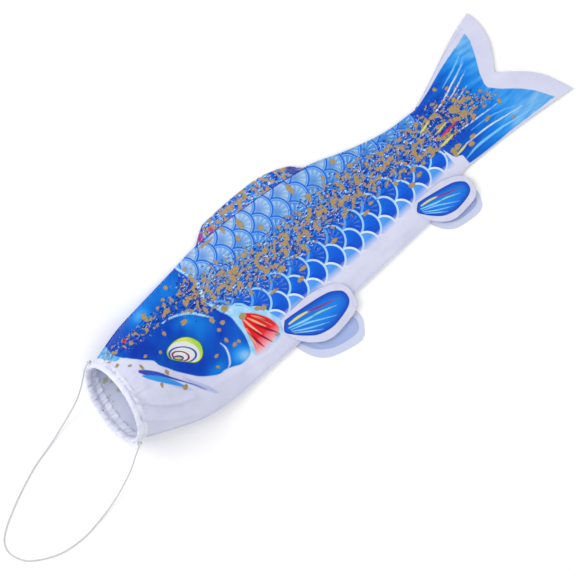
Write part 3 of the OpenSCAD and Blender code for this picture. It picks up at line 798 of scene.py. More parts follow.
def scale_print(tree, under):
    """Overlapping round scales: a point takes its colour from the most headward of the circles that hold it,
    on two lattices half a pitch apart. Rim is the distance in from that circle, turn the angle round it."""
    a, b, _ = triple(tree, "lattice")
    found = []
    for start, level in ((0.0, 0.0), (scale_pitch / 2, row_gap)):
        shifted = add(tree, "Math", {0: b, 1: row_gap - level}, operation="ADD")
        row = add(tree, "Math", {0: shifted, 1: 2 * row_gap}, operation="SNAP")
        side = add(tree, "Math", {0: shifted, 1: row}, operation="SUBTRACT")
        side = add(tree, "Math", {0: side, 1: row_gap}, operation="SUBTRACT")
        squared = add(tree, "Math", {0: side, 1: side}, operation="MULTIPLY")
        room = add(tree, "Math", {0: scale_r ** 2, 1: squared}, operation="SUBTRACT")
        chord = add(tree, "Math", {0: room}, operation="SQRT")
        along = add(tree, "Math", {0: a, 1: start}, operation="SUBTRACT")
        back = add(tree, "Math", {0: chord, 1: along}, operation="SUBTRACT")
        centre = add(tree, "Math", {0: back, 1: scale_pitch}, operation="SNAP")
        ahead = add(tree, "Math", {0: along, 1: centre}, operation="ADD")
        reach = add(tree, "Math", {0: ahead, 1: chord}, operation="ADD")
        outside = add(tree, "Math", {0: reach, 1: 0.0}, operation="LESS_THAN")
        key = add(tree, "Math", {0: outside, 1: -100.0, 2: ahead}, operation="MULTIPLY_ADD")
        found.append((ahead, side, key))
    second = add(tree, "Math", {0: found[1][2], 1: found[0][2]}, operation="GREATER_THAN")
    ahead = add(tree, "Mix", {"Factor": second, 2: found[0][0], 3: found[1][0]}).outputs[0]
    side = add(tree, "Mix", {"Factor": second, 2: found[0][1], 3: found[1][1]}).outputs[0]
    spot = add(tree, "CombineXYZ", {0: ahead, 1: side})
    radius = add(tree, "VectorMath", {0: spot}, operation="LENGTH").outputs["Value"]
    rim = add(tree, "Math", {0: scale_r, 1: radius}, operation="SUBTRACT")
    turn = add(tree, "Math", {0: side, 1: ahead}, operation="ARCTAN2")
    level = add(tree, "Math", {0: b, 1: side}, operation="SUBTRACT")
    height = add(tree, "MapRange", {"Value": level, "From Min": -30.0, "From Max": 130.0})
    fill = ramp(tree, height, [(0.0, "#4a9cec"), (0.10, "#1f7fe6"), (0.19, "#0c48c8"), (0.30, "#0f4cc4"),
                               (0.44, "#0c4cc2"), (0.56, "#1c68cc"), (0.66, "#4f94cc"), (0.78, "#8ab2d4"),
                               (1.0, "#98b4d6")])
    # Each scale is lighter towards its root and its back side, and darkest just inside its rim.
    sweep = add(tree, "MapRange", {"Value": turn, "From Min": -1.3, "From Max": 1.3, "To Max": 0.55})
    bright = ramp(tree, height, [(0.0, "#86c0f0"), (0.19, "#0676ea"), (0.44, "#1470e0"), (0.66, "#6aa2ea"),
                                 (1.0, "#b2c0e8")])
    fill = add(tree, "Mix", {"Factor": sweep, 6: fill, 7: bright}, data_type="RGBA").outputs[2]
    # Fan lines: about 16 fine pale lines that spread from the root of a scale, drawn 1 mm wide.
    spokes = add(tree, "Math", {0: turn, 1: 13.0}, operation="MULTIPLY")
    spokes = add(tree, "Math", {0: spokes}, operation="SINE")
    lines = add(tree, "MapRange", {"Value": spokes, "From Min": 0.35, "From Max": 0.9})
    inner = add(tree, "MapRange", {"Value": rim, "From Min": 4.2, "From Max": 5.5})
    outer = add(tree, "MapRange", {"Value": rim, "From Min": 15.0, "From Max": 10.0})
    often = add(tree, "MapRange", {"Value": level, "From Min": 10.0, "From Max": 40.0, "To Max": 0.6})
    fan = add(tree, "Math", {0: lines, 1: inner}, operation="MULTIPLY")
    fan = add(tree, "Math", {0: fan, 1: outer}, operation="MULTIPLY")
    fan = add(tree, "Math", {0: fan, 1: often}, operation="MULTIPLY")
    fill = add(tree, "Mix", {"Factor": fan, 6: fill, 7: linear("#b4d2f2")}, data_type="RGBA").outputs[2]
    upper = add(tree, "MapRange", {"Value": level, "From Min": 22.0, "From Max": 48.0})
    # Low scales have one broad white rim, and high ones a blue rim, with a pale line and a blue line in it.
    pale = add(tree, "MapRange", {"Value": rim, "From Min": 2.9, "From Max": 2.2})
    rim_tone = ramp(tree, height, [(0.0, "#e6edf8"), (0.19, "#b4d6f2"), (0.40, "#6fbcf0"), (0.52, "#3f92e6"),
                                   (1.0, "#3f86e0")])
    low = add(tree, "Mix", {"Factor": pale, 6: fill, 7: rim_tone}, data_type="RGBA").outputs[2]
    root = add(tree, "MapRange", {"Value": rim, "From Min": 7.0, "From Max": 19.0, "To Max": 0.6})
    high = add(tree, "Mix", {"Factor": root, 6: fill, 7: linear("#1f74d0")}, data_type="RGBA").outputs[2]
    for near, far, code, most in ((4.9, 3.9, "#2f80de", 0.8), (3.4, 2.9, "#84b2ea", 0.85),
                                  (2.3, 1.8, "#1462d0", 0.95)):
        line = add(tree, "MapRange", {"Value": rim, "From Min": near, "From Max": far, "To Max": most})
        high = add(tree, "Mix", {"Factor": line, 6: high, 7: linear(code)}, data_type="RGBA").outputs[2]
    scales = add(tree, "Mix", {"Factor": upper, 6: low, 7: high}, data_type="RGBA").outputs[2]
    # The lowest row fades out into the white belly.
    fade = add(tree, "MapRange", {"Value": b, "From Min": -21.0, "From Max": -11.0})
    return add(tree, "Mix", {"Factor": fade, 6: under, 7: scales}, data_type="RGBA").outputs[2]


def eye_print(tree, under, lie, field):
    """The eye: an outline filled from green to white, and rings that are ellipses about their own centres."""
    colour = over(tree, under, "#2f6a2a", field, 0.4)
    shade = add(tree, "MapRange", {"Value": lie[0], "From Min": 96.0, "From Max": 124.0})
    green = ramp(tree, shade, [(0.0, "#a8cf52"), (0.6, "#d7e26a"), (1.0, "#9fcf4e")])
    inset = add(tree, "Math", {0: field, 1: 1.0}, operation="ADD")
    colour = over(tree, colour, green, inset, 0.35)
    for spot, half, angle, width, code, core in (
        ((103.6, -8.4), (19.6, 14.6), -43, 99.0, "#dfe2e6", None),
        ((101.5, -8.6), (17.5, 10.2), -43, 1.5, "#1450a8", None),
        ((98.5, -8.2), (11.8, 6.6), -46, 1.5, "#8c2f3a", None),
        ((95.2, -8.8), (6.9, 3.6), -45, 99.0, "#1e2a78", None),
        ((95.2, -8.8), (5.0, 1.7), -45, 99.0, "#c9b98a", None),
    ):
        middle = on_cloth([spot])[0]
        east, north = on_cloth([(spot[0] + 4, spot[1]), (spot[0], spot[1] + 4)]) - middle
        stretch = (np.hypot(*east) / 4, np.hypot(*north) / 4)
        centred = add(tree, "CombineXYZ", {0: lie[0], 1: lie[1]})
        centred = add(tree, "VectorMath", {0: centred, 1: (*middle.tolist(), 0)}, operation="SUBTRACT")
        eased = (float(1 / stretch[0]), float(1 / stretch[1]), 1.0)
        centred = add(tree, "VectorMath", {0: centred, 1: eased}, operation="MULTIPLY")
        turned = add(tree, "VectorRotate", {"Vector": centred, "Angle": math.radians(-angle)},
                     rotation_type="Z_AXIS")
        sized = add(tree, "VectorMath", {0: turned, 1: (1 / half[0], 1 / half[1], 0)},
                    operation="MULTIPLY")
        radius = add(tree, "VectorMath", {0: sized}, operation="LENGTH").outputs["Value"]
        field_in = add(tree, "Math", {0: radius, 1: half[1], 2: -half[1]}, operation="MULTIPLY_ADD")
        if width < 50:
            middle_of = add(tree, "Math", {0: field_in, 1: width / 2}, operation="ADD")
            gap = add(tree, "Math", {0: middle_of}, operation="ABSOLUTE")
            field_in = add(tree, "Math", {0: gap, 1: width / 2}, operation="SUBTRACT")
        held = add(tree, "Math", {0: inset, 1: 0.6}, operation="ADD")
        field_in = add(tree, "Math", {0: field_in, 1: held}, operation="MAXIMUM")
        colour = over(tree, colour, code, field_in, 0.35)
    return colour


def weave_height(tree, lie):
    """Plain weave of 0.15 mm threads, drawn 1.2 mm wide so that it shows: sin(k p) * sin(k q)."""
    waves = []
    for n in (0, 1):
        wave = add(tree, "Math", {0: lie[n], 1: 2 * math.pi / 1.2}, operation="MULTIPLY")
        waves.append(add(tree, "Math", {0: wave}, operation="SINE"))
    return add(tree, "Math", {0: waves[0], 1: waves[1]}, operation="MULTIPLY")


def patches(tree, spot, level, steep, noise):
    """A field below 0 where a noise with these settings is above a level: steep * (level - noise)."""
    cloud = add(tree, "TexNoise", {"Vector": spot, **noise})
    field = add(tree, "Math", {0: level, 1: cloud}, operation="SUBTRACT")
    return add(tree, "Math", {0: field, 1: steep}, operation="MULTIPLY")


def printed_satin(name, strength):
    """The printed cloth: layers from the white ground up, then the weave and the sheen. strength is how much
    of the print shows, 1 on the outside and less on the back of the cloth."""
    material, tree, shader = finish(name, Roughness=0.5, Sheen_Weight=0.02, Sheen_Roughness=0.35,
                                    Specular_IOR_Level=0.08)
    lie, tones = triple(tree, "lie"), triple(tree, "tones")
    head, lips, mouth, streaks, tail, rays = (triple(tree, name) for name in drawn_fields)
    spot = add(tree, "CombineXYZ", {0: lie[0], 1: lie[1]})
    ground_cloud = add(tree, "TexNoise", {"Vector": spot, "Scale": 0.03, "Detail": 2.0})
    ground = ramp(tree, ground_cloud.outputs[0], [(0.3, "#cbcee6"), (0.7, "#d5d7ec")])
    colour = ground

    scaled = scale_print(tree, colour)
    before_tail = add(tree, "Math", {0: lie[0], 1: 508.0}, operation="LESS_THAN")
    behind_head = add(tree, "Math", {0: lie[0], 1: 158.0}, operation="GREATER_THAN")
    both = add(tree, "Math", {0: before_tail, 1: behind_head}, operation="MULTIPLY")
    colour = add(tree, "Mix", {"Factor": both, 6: colour, 7: scaled}, data_type="RGBA").outputs[2]

    blues = ramp(tree, tones[1], [(0.12, "#082892"), (0.30, "#0a3fb4"), (0.46, "#0858c2"), (0.66, "#117cdc"),
                                  (0.80, "#3a98e8"), (1.0, "#94c8e8")])
    colour = layered(tree, colour, (blues, tail[0], 0.5), ("#e9f4fd", tail[1], 0.5, 0.85),
                     ("#7cc9fa", tail[2], 0.6, 0.85))

    # Gill: pale cyan with a red patch that fades to white towards the belly.
    gill_cloud = add(tree, "TexNoise", {"Vector": spot, "Scale": 0.12, "Detail": 3.0})
    gill = ramp(tree, gill_cloud.outputs[0], [(0.3, "#7cc2ea"), (0.6, "#a6d2ee"), (0.75, "#bfdcee")])
    colour = over(tree, colour, gill, head[1], 0.8)
    down = add(tree, "MapRange", {"Value": lie[1], "From Min": -71.0, "From Max": -40.0})
    red = ramp(tree, down, [(0.0, "#d8cfe0"), (0.3, "#e88a98"), (0.62, "#e2282e"), (1.0, "#dc1416")])
    colour = layered(tree, colour, (red, head[2], 0.9), ("#dfb494", streaks[1], 0.5, 0.9),
                     ("#7c1030", streaks[0], 0.45, 0.95), ("#a8dcf8", streaks[2], 0.8, 0.95))

    colour = over(tree, colour, blues, head[0], 0.5)
    from_edge = add(tree, "Math", {0: head[0]}, operation="ABSOLUTE")
    edge_field = add(tree, "Math", {0: from_edge, 1: 0.45}, operation="SUBTRACT")
    colour = layered(tree, colour, ("#7fbcf0", edge_field, 0.6, 0.6), ("#a5dcf6", lips[2], 0.7, 0.85),
                     ("#dfeefb", mouth[2], 0.7, 0.8))
    lip_cloud = add(tree, "TexNoise", {"Vector": spot, "Scale": 0.2})
    lip = ramp(tree, lip_cloud.outputs[0], [(0.35, "#3f98dc"), (0.65, "#86bfe6")])
    # tones[2] is the painted shade along the mouth's folds, laid on in lavender.
    colour = layered(tree, colour, (lip, lips[0], 0.7), ("#7f8fd8", tones[2], 1.2, 0.45),
                     ("#0a3cb4", mouth[0], 0.7, 0.95), ("#1c8fe4", mouth[1], 0.7, 0.95))

    # Fine print between the flakes: navy shadows and white slivers, each a stretched noise cut to patches.
    stretched = add(tree, "Mapping", {"Vector": spot, "Scale": (0.55, 1.2, 1.0)})
    share = add(tree, "Math", {0: lie[2], 1: 0.33}, operation="POWER")
    for cut, code, most, noise in (
        (-0.49, "#0a2084", 0.85, {"Scale": 0.33, "Detail": 2.0}),
        (-0.365, "#dce9fa", 0.75, {"Scale": 0.42, "Detail": 1.5, "Distortion": 0.6}),
    ):
        level = add(tree, "Math", {0: share, 1: cut, 2: 1.0}, operation="MULTIPLY_ADD")
        colour = over(tree, colour, code, patches(tree, stretched, level, 12.0, noise), 0.3, most)
    level = add(tree, "Math", {0: share, 1: -0.475, 2: 1.0}, operation="MULTIPLY_ADD")
    gold_field = patches(tree, spot, level, 14.0,
                         {"Scale": 0.145, "Detail": 2.0, "Roughness": 0.6, "Distortion": 0.3})
    gold_field = add(tree, "Math", {0: gold_field, 1: tones[0]}, operation="MINIMUM")
    gold_cloud = add(tree, "TexNoise", {"Vector": spot, "Scale": 0.5})
    gold = ramp(tree, gold_cloud.outputs[0], [(0.35, "#9a8254"), (0.65, "#b0986a")])
    rim_field = add(tree, "Math", {0: gold_field, 1: 0.45}, operation="SUBTRACT")
    colour = layered(tree, colour, ("#4f5a86", rim_field, 0.4, 0.5), (gold, gold_field, 0.35),
                     ("#dbe05a", rays[0], 0.5, 0.85), ("#d3242f", rays[1], 0.5, 0.85))
    colour = eye_print(tree, colour, lie, lips[1])
    red_spot = on_cloth([(58, 51)])[0]
    away = add(tree, "VectorMath", {0: spot, 1: (*red_spot.tolist(), 0)}, operation="DISTANCE")
    wobble = add(tree, "Math", {0: gold_cloud.outputs[0], 1: 6.0, 2: away.outputs["Value"]},
                 operation="MULTIPLY_ADD")
    red_field = add(tree, "Math", {0: wobble, 1: 6.2}, operation="SUBTRACT")
    colour = layered(tree, colour, ("#c01c22", red_field, 0.6, 0.9), ("#9c9cb4", rays[2], 0.4, 0.55))

    if strength < 1:
        colour = add(tree, "Mix", {"Factor": strength, 6: linear("#d4d8ec"), 7: colour},
                     data_type="RGBA").outputs[2]
        # Gold flakes of the outside show through as dull yellow-green spots near the mouth.
        for x, y, wide in ((8, 28, 4.2), (13, 22, 2.4), (13, 9, 3.4), (1, 11, 1.6), (-1, 2, 1.5)):
            gap = ((grids[-1, "front"][0][..., :2] - (x, y)) ** 2).sum(axis=-1)
            at = np.unravel_index(gap.argmin(), gap.shape)
            middle = (float(grids[-1, "front"][1][at]), float(grids[-1, "front"][2][at]), 0.0)
            away = add(tree, "VectorMath", {0: spot, 1: middle}, operation="DISTANCE")
            wobble = add(tree, "Math", {0: gold_cloud.outputs[0], 1: 4.0, 2: away.outputs["Value"]},
                         operation="MULTIPLY_ADD")
            ghost = add(tree, "Math", {0: wobble, 1: wide + 1.4}, operation="SUBTRACT")
            colour = over(tree, colour, "#a9ad78", ghost, 1.0, 0.75)
    feed(tree, shader, {"Base Color": colour})

    # Faint slubs along the threads, under the weave.
    slub_place = add(tree, "Mapping", {"Vector": spot, "Scale": (0.15, 1.6, 1.0)})
    slubs = add(tree, "TexNoise", {"Vector": slub_place, "Scale": 0.8, "Detail": 3.0})
    relief = add(tree, "Math", {0: slubs, 1: 1.2, 2: weave_height(tree, lie)}, operation="MULTIPLY_ADD")
    weave_bump = add(tree, "Bump", {"Height": relief, "Strength": 0.16, "Distance": 0.0002})
    feed(tree, shader, {"Normal": weave_bump})
    gloss = add(tree, "MapRange", {"Value": slubs.outputs[0], "To Min": 0.42, "To Max": 0.56})
    feed(tree, shader, {"Roughness": gloss})
    return material


# Satin polyester with a dye-sublimation print: smooth, slightly silky, with the colour down in the threads.
print_face = printed_satin("Printed satin polyester", 1.0)
# The back of the same cloth: the dye shows through as a pale ghost of the print on a grey-white ground.
print_back = printed_satin("Back of printed satin polyester", 0.22)


def doubled(outer, inner):
    """A closed thin sheet: an outer grid, an inner grid and a rim round both. Inner faces are part 1."""
    rows, columns = outer.shape[:2]
    n = rows * columns
    face = skin_of(outer, columns_closed=False)
    number = np.arange(n).reshape(rows, columns)
    edges = (number[0], number[-1, ::-1], number[::-1, 0], number[:, -1])
    rim = np.concatenate([np.stack([edge[:-1], n + edge[:-1], n + edge[1:], edge[1:]], axis=1)
                          for edge in edges])
    faces = np.concatenate([face, face[:, ::-1] + n, rim])
    parts = np.concatenate([np.zeros(len(face)), np.ones(len(face)), np.zeros(len(rim))])
    # Every face is turned round when the one in the middle of the outer grid looks towards the inner grid.
    i, j = rows // 2, columns // 2
    down, right = outer[i + 1, j] - outer[i, j], outer[i, j + 1] - outer[i, j]
    if np.cross(right, down) @ (outer[i, j] - inner[i, j]) <= 0:
        faces = faces[:, ::-1]
    return np.concatenate([outer.reshape(-1, 3), inner.reshape(-1, 3)]), faces, parts


def both_sides(fields):
    """The same fields on the outer and on the inner grid of a doubled sheet."""
    return {name: np.concatenate([values.reshape(-1, 3)] * 2) for name, values in fields.items()}


body_nodes = {
    (1, "front"): ("body_left_cloth", ["body_left_front", "body_left_rear"]),
    (-1, "front"): ("body_right_cloth", ["body_right_front", "body_right_rear"]),
    (1, "rear"): ("tail_left_cloth", ["tail_left"]),
    (-1, "rear"): ("tail_right_cloth", ["tail_right"]),
}
surfaces = {}
for (side, end), (grid, station, q) in grids.items():
    surfaces[side, end] = settled(side, grid, station, 3 if side > 0 else 9)
# The rear end takes its first row from the front end's last row, so that the two meet without a step.
for side in (1, -1):
    last = surfaces[side, "front"][-1]
    share = (np.linspace(0, 1, len(last)), np.linspace(0, 1, surfaces[side, "rear"].shape[1]))
    drift = np.stack([np.interp(share[1], share[0], last[:, n]) for n in range(3)], axis=-1)
    drift = drift - surfaces[side, "rear"][0]
    fade = np.exp(-np.arange(len(surfaces[side, "rear"])) / 12)[:, None, None]
    surfaces[side, "rear"] = surfaces[side, "rear"] + drift[None] * fade
for (side, end), (name, nodes) in body_nodes.items():
    grid, station, q = grids[side, end]
    outer = surfaces[side, end]
    inner = outer - outward(grid) * side * cloth_t
    points, faces, parts = doubled(outer, inner)
    p = station if end == "front" else grid[..., 0]
    fields = both_sides(print_fields(np.stack([p, q], axis=-1)))
    cloth = piece(name, points, faces, fields, parts)
    cloth.data.materials.append(print_face)
    cloth.data.materials.append(print_back)
    if end == "front":
        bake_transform(cloth)
    else:
        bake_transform(cloth)
    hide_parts(*nodes)


# --- Hem round the hoop ------------------------------------------------------------------------------
# The cloth of the mouth is folded round the hoop into a channel, gathered a little on the wire, and sewn to
# the body with two rows of stitches. It is unprinted white satin.
toward_body = np.array([math.cos(lean) * math.cos(yaw), -math.cos(lean) * math.sin(yaw), -math.sin(lean)])
to_back = np.array([math.sin(yaw), math.cos(yaw), 0.0])
to_top = np.array([math.sin(lean) * math.cos(yaw), -math.sin(lean) * math.sin(yaw), math.cos(lean)])
hem_back, hem_columns, hem_cloth_t = 9.0, 480, 0.22


def mouth_ring(station, inset, columns):
    """Points round the whole section at a station: the left panel's half, then the right panel's half."""
    phi = np.arange(columns) * 2 * np.pi / columns
    left = section_point(1, np.full(columns, station), np.minimum(phi, np.pi), inset)
    right = section_point(-1, np.full(columns, station), np.minimum(2 * np.pi - phi, np.pi), inset)
    return np.where((phi <= np.pi)[:, None], left, right)


phi = np.arange(hem_columns) * 2 * np.pi / hem_columns
radial = np.cos(phi)[:, None] * to_back + np.sin(phi)[:, None] * to_top
wire_line = np.array([0, 0, hoop_z]) + hoop_r * radial
rng = np.random.default_rng(5)
ridges = [(n, high, slant, rng.uniform(0, 6)) for n, high, slant in
          ((19, 0.8, 0.24), (26, 0.9, -0.20), (33, 0.7, 0.30), (45, 0.5, -0.12), (61, 0.35, 0.10))]


def gathers_at(row):
    """Sum of sines round the ring whose phase also turns with the row, so that the ridges run slantwise."""
    return sum(high * np.sin(n * phi + slant * row + start) for n, high, slant, start in ridges)


profile = []
for station in (hem_back, 7.5, 6.0, 4.6):
    gathers = gathers_at(len(profile))
    shape = 0.45 + 0.22 * gathers * (1 if station < hem_back else 0.3)
    profile.append(mouth_ring(station, 0, hem_columns) + radial * np.maximum(shape, 0.2)[:, None])
for t in np.linspace(0.12, 0.88, 15) * 2 * np.pi:
    # Round the wire: a flattened loop, 8 to 10 mm long and 4 to 6 mm thick, that bulges between the gathers.
    below = (1 - np.sin(phi)) / 2
    gathers = gathers_at(len(profile))
    bulge = 1 + (0.11 + 0.13 * below) * gathers
    ahead = 0.9 - 1.1 * below + (3.9 + 0.9 * below) * np.cos(t) - (0.3 + 0.4 * below) * np.abs(gathers)
    aside = (2.1 + 0.7 * below) * np.sin(t) * bulge
    profile.append(wire_line + toward_body * ahead[:, None] + radial * aside[:, None])
for station in (4.6, 6.0, 7.5, 9.0, 10.5, 11.5):
    shape = 1.5 + (0.25 + 0.75 * below) * gathers_at(len(profile))
    profile.append(mouth_ring(station, 0, hem_columns) - radial * np.maximum(shape, 0.7)[:, None])
rings = np.stack(profile)
rings = np.concatenate([rings, rings[:, :1]], axis=1)
hem_normal = outward(rings)
hem_normal *= np.sign(((rings[10] - wire_line[np.r_[0:hem_columns, 0]]) * hem_normal[10]).sum(axis=-1).mean())
lining = rings - hem_normal * hem_cloth_t
points, faces, parts = doubled(rings, lining)
hem_run = np.broadcast_to(np.arange(hem_columns + 1) * 2 * np.pi / hem_columns * hoop_r, rings.shape[:2])
hem_step = np.broadcast_to(np.arange(len(rings))[:, None] * 1.6, rings.shape[:2])
hem_lie = np.stack([hem_run, hem_step, np.zeros_like(hem_run)], axis=-1)
hem = piece("mouth_hem_cloth", points, faces, both_sides({"lie": hem_lie}))


def plain_satin(name, light, dark, rough):
    """Unprinted satin polyester: a white that varies a little, silky roughness, slubs along the threads."""
    material, tree, shader = finish(name, Roughness=rough, Sheen_Weight=0.1, Sheen_Roughness=0.35,
                                    Specular_IOR_Level=0.3)
    lie = triple(tree, "lie")
    spot = add(tree, "CombineXYZ", {0: lie[0], 1: lie[1]})
    cloud = add(tree, "TexNoise", {"Vector": spot, "Scale": 0.06, "Detail": 3.0})
    feed(tree, shader, {"Base Color": ramp(tree, cloud.outputs[0], [(0.3, dark), (0.7, light)])})
    slub_place = add(tree, "Mapping", {"Vector": spot, "Scale": (1.4, 0.2, 1.0)})
    slubs = add(tree, "TexNoise", {"Vector": slub_place, "Scale": 0.8, "Detail": 3.0})
    bump = add(tree, "Bump", {"Height": slubs.outputs[0], "Strength": 0.2, "Distance": 0.0003})
    feed(tree, shader, {"Normal": bump})
    gloss = add(tree, "MapRange", {"Value": slubs.outputs[0], "To Min": rough - 0.06,
                                             "To Max": rough + 0.08})
    feed(tree, shader, {"Roughness": gloss})
    return material


# White satin polyester: the unprinted cloth of the hem, a cool white with a soft silky shine in its folds.
white_satin = plain_satin("White satin polyester", "#e6e8f6", "#dadcf0", 0.42)
hem.data.materials.append(white_satin)
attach(hem, "front")
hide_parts("mouth_hem")


def sewn(name, spots, normals, headings, long, wide, high):
    """A row of stitches: each is the small ellipsoid spot + heading * (long / 2) cos u + side * (wide / 2)
    sin u cos v + normal * (high / 2) sin u sin v, half sunk in the cloth, as 6 rings of 8 points."""
    u, v = np.meshgrid(np.linspace(0.25, np.pi - 0.25, 6), np.arange(8) * np.pi / 4, indexing="ij")
    side = np.cross(normals, headings)
    shape = (headings[:, None, None] * (np.cos(u) * long / 2)[None, ..., None]
             + side[:, None, None] * (np.sin(u) * np.cos(v) * wide / 2)[None, ..., None]
             + normals[:, None, None] * (np.sin(u) * np.sin(v) * high / 2)[None, ..., None])
    points = (spots[:, None, None] + shape).reshape(-1, 3)
    one = skin_of(u[..., None]).tolist() + [list(range(8))[::-1], list(range(40, 48))]
    faces = [[n + 48 * k for n in face] for k in range(len(spots)) for face in one]
    row = np.repeat(np.arange(len(spots)) * 3.0, 48)
    lie = np.stack([row, np.tile(np.arange(48) / 8.0, len(spots)), np.zeros(len(row))], axis=1)
    made = piece(name, points, faces, {"lie": lie})
    made.data.materials.append(sewing_thread)
    return made


# Spun polyester sewing thread: matt white, with the twist of its two plies drawn 0.5 mm apart.
sewing_thread, tree, shader = finish("Spun polyester sewing thread", Base_Color=linear("#f0f0f5"),
                                     Roughness=0.75, Sheen_Weight=0.2)
lie = triple(tree, "lie")
ply = add(tree, "Math", {0: lie[1], 1: 6.0}, operation="MULTIPLY")
ply = add(tree, "Math", {0: ply}, operation="SINE")
# Painted shade: the thread's colour follows the ply height, darker in the groove between the two plies.
tone = add(tree, "Mix", {"Factor": ply, 6: linear("#d6d6e2"), 7: linear("#f4f4f9")}, data_type="RGBA")
feed(tree, shader, {"Base Color": tone.outputs[2]})
ply_bump = add(tree, "Bump", {"Height": ply, "Strength": 0.5, "Distance": 0.0001})
feed(tree, shader, {"Normal": ply_bump})

stitch_count = 118
rows = []
# The two rows: their distance behind the wire and how far they stand out of the body's cloth.
for station, outset in ((4.9, 0.66), (7.3, 0.62)):
    ring = mouth_ring(station, 0, stitch_count)
    at = np.arange(stitch_count) * 2 * np.pi / stitch_count
    away = np.cos(at)[:, None] * to_back + np.sin(at)[:, None] * to_top
    dent = np.interp(at, phi, 0.22 * gathers_at(1.5))
    heading = np.roll(ring, -1, axis=0) - np.roll(ring, 1, axis=0)
    heading /= np.linalg.norm(heading, axis=1, keepdims=True)
    rows.append((ring + away * np.maximum(outset + dent, 0.35)[:, None], away, heading))
spots, normals, headings = (np.concatenate([row[n] for row in rows]) for n in range(3))
hem_thread = sewn("hem_stitch_rows", spots, normals, headings, long=2.1, wide=0.5, high=0.45)
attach(hem_thread, "front")
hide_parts("hem_stitches")

# --- Seams along the back and the belly ----------------------------------------------------------------
# Both panels are stitched together from the outside, and their seam allowances stand out 1.3 mm as a flat
# double edge of the same printed cloth.
seam_w, seam_half_t = 1.3, 0.26


def seam_ribbon(name, edge, stations, outline, spots, fades):
    """A flat closed ribbon beside an edge: edge + across * width * s, with a ripple of 0.25 mm along it."""
    s = np.linspace(0, 1, 4)[None, :, None]
    width = seam_w * fades[:, None, None]
    middle_line = outline[:, None] + np.array([0, edge, 0]) * (0.1 + width * s)
    ripple = 0.25 * np.sin(stations * 2 * np.pi / 9 + 2 * np.sin(stations / 31))[:, None] * s[..., 0]
    middle_line[..., 2] += ripple * np.clip(outline[:, 2:3] - 1.6, 0, 1)
    top, bottom = middle_line + [0, 0, seam_half_t], middle_line - [0, 0, seam_half_t]
    points, faces, parts = doubled(top, bottom)
    place_on = np.broadcast_to(spots[:, None], (len(spots), 4, 2))
    ribbon = piece(name, points, faces, both_sides(print_fields(place_on)))
    ribbon.data.materials.append(print_face)
    return ribbon


for edge, word, row in ((1, "back", 0), (-1, "belly", -1)):
    grid, station, q = grids[1, "front"]
    keep = station[:, 0] > 9.5
    line = grid[keep, row] - [0, 0, edge_gap]
    spots = np.stack([station[keep, row], q[keep, row]], axis=-1)
    ribbon = seam_ribbon(word + "_seam_allowance", edge, station[keep, row], line, spots, np.ones(len(line)))
    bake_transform(ribbon)
    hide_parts(word + "_seam_front", word + "_seam_rear")
    grid, station, q = grids[1, "rear"]
    line = grid[:, row] - [0, 0, edge_gap]
    line[:, 2] = np.minimum(line[:, 2], grids[1, "front"][0][-1, row, 2] - 0.05)
    line[:, 2] = np.where(grid[:, row, 0] > root_x, 2.4, line[:, 2])
    spots = np.stack([grid[:, row, 0], q[:, row]], axis=-1)
    fades = np.clip(1 - (grid[:, row, 0] - 500) / 60, 0.25, 1)
    ribbon = seam_ribbon("tail_" + word + "_allowance", edge, grid[:, row, 0], line, spots, fades)
    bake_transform(ribbon)
    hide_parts("tail_seam_" + word)

# --- Back fin ----------------------------------------------------------------------------------------
# A low strip of printed cloth is caught in the back seam. It droops to the table along its free edge.
back_root = np.array([(200, 90, 4.6), (360, 78.5, 4.6)])
back_rise = [(0, 0.12), (8, 0.38), (18, 0.56), (62, 0.88), (105, 1), (132, 0.74), (147, 0.4), (160, 0.06)]
back_long, back_high, back_droop, back_half_t = 160, 17.0, math.radians(12), 0.16
root_run = np.linalg.norm(back_root[1] - back_root[0])
heading = (back_root[1] - back_root[0]) / root_run
beside = np.array([-heading[1], heading[0], 0])
s, t = np.meshgrid(np.linspace(0, 1, 150), np.linspace(0, 1, 18), indexing="ij")
rise = back_high * curve(back_rise, s * back_long)
ruffle = 0.5 * np.sin(s * back_long * 2 * np.pi / 23 + 0.8) + 0.3 * np.sin(s * back_long * 2 * np.pi / 11)
free_edge = (back_root[0] + heading * (s * root_run)[..., None]
             + beside * rise[..., None] * math.cos(back_droop)
             - np.array([0, 0, 1]) * (rise * math.sin(back_droop))[..., None])
root_x_at = 197.5 + s * 167
seam_edge = np.stack([root_x_at, curve(back_edge, root_x_at) - 0.8, curve(seam_rise, root_x_at) + 0.9],
                     axis=-1)
taper = (np.clip(s / 0.13, 0, 1) * np.clip((1 - s) / 0.06, 0, 1)) ** 0.7
sheet_line = seam_edge + (free_edge - seam_edge) * (t * (0.04 + 0.96 * taper))[..., None]
sheet_line[..., 2] += ruffle * np.clip(t * 2, 0, 1) * np.clip(rise / 10, 0, 1)
fin_half = np.array([0, 0, back_half_t])
points, faces, parts = doubled(sheet_line + fin_half, sheet_line - fin_half)
fin_lie = np.stack([s * back_long, t * rise, t], axis=-1)


def fin_relief(tree, shader, lie):
    """The weave of a fin's cloth, which lies flatter than the body's."""
    bump = add(tree, "Bump", {"Height": weave_height(tree, lie), "Strength": 0.14, "Distance": 0.0002})
    feed(tree, shader, {"Normal": bump})


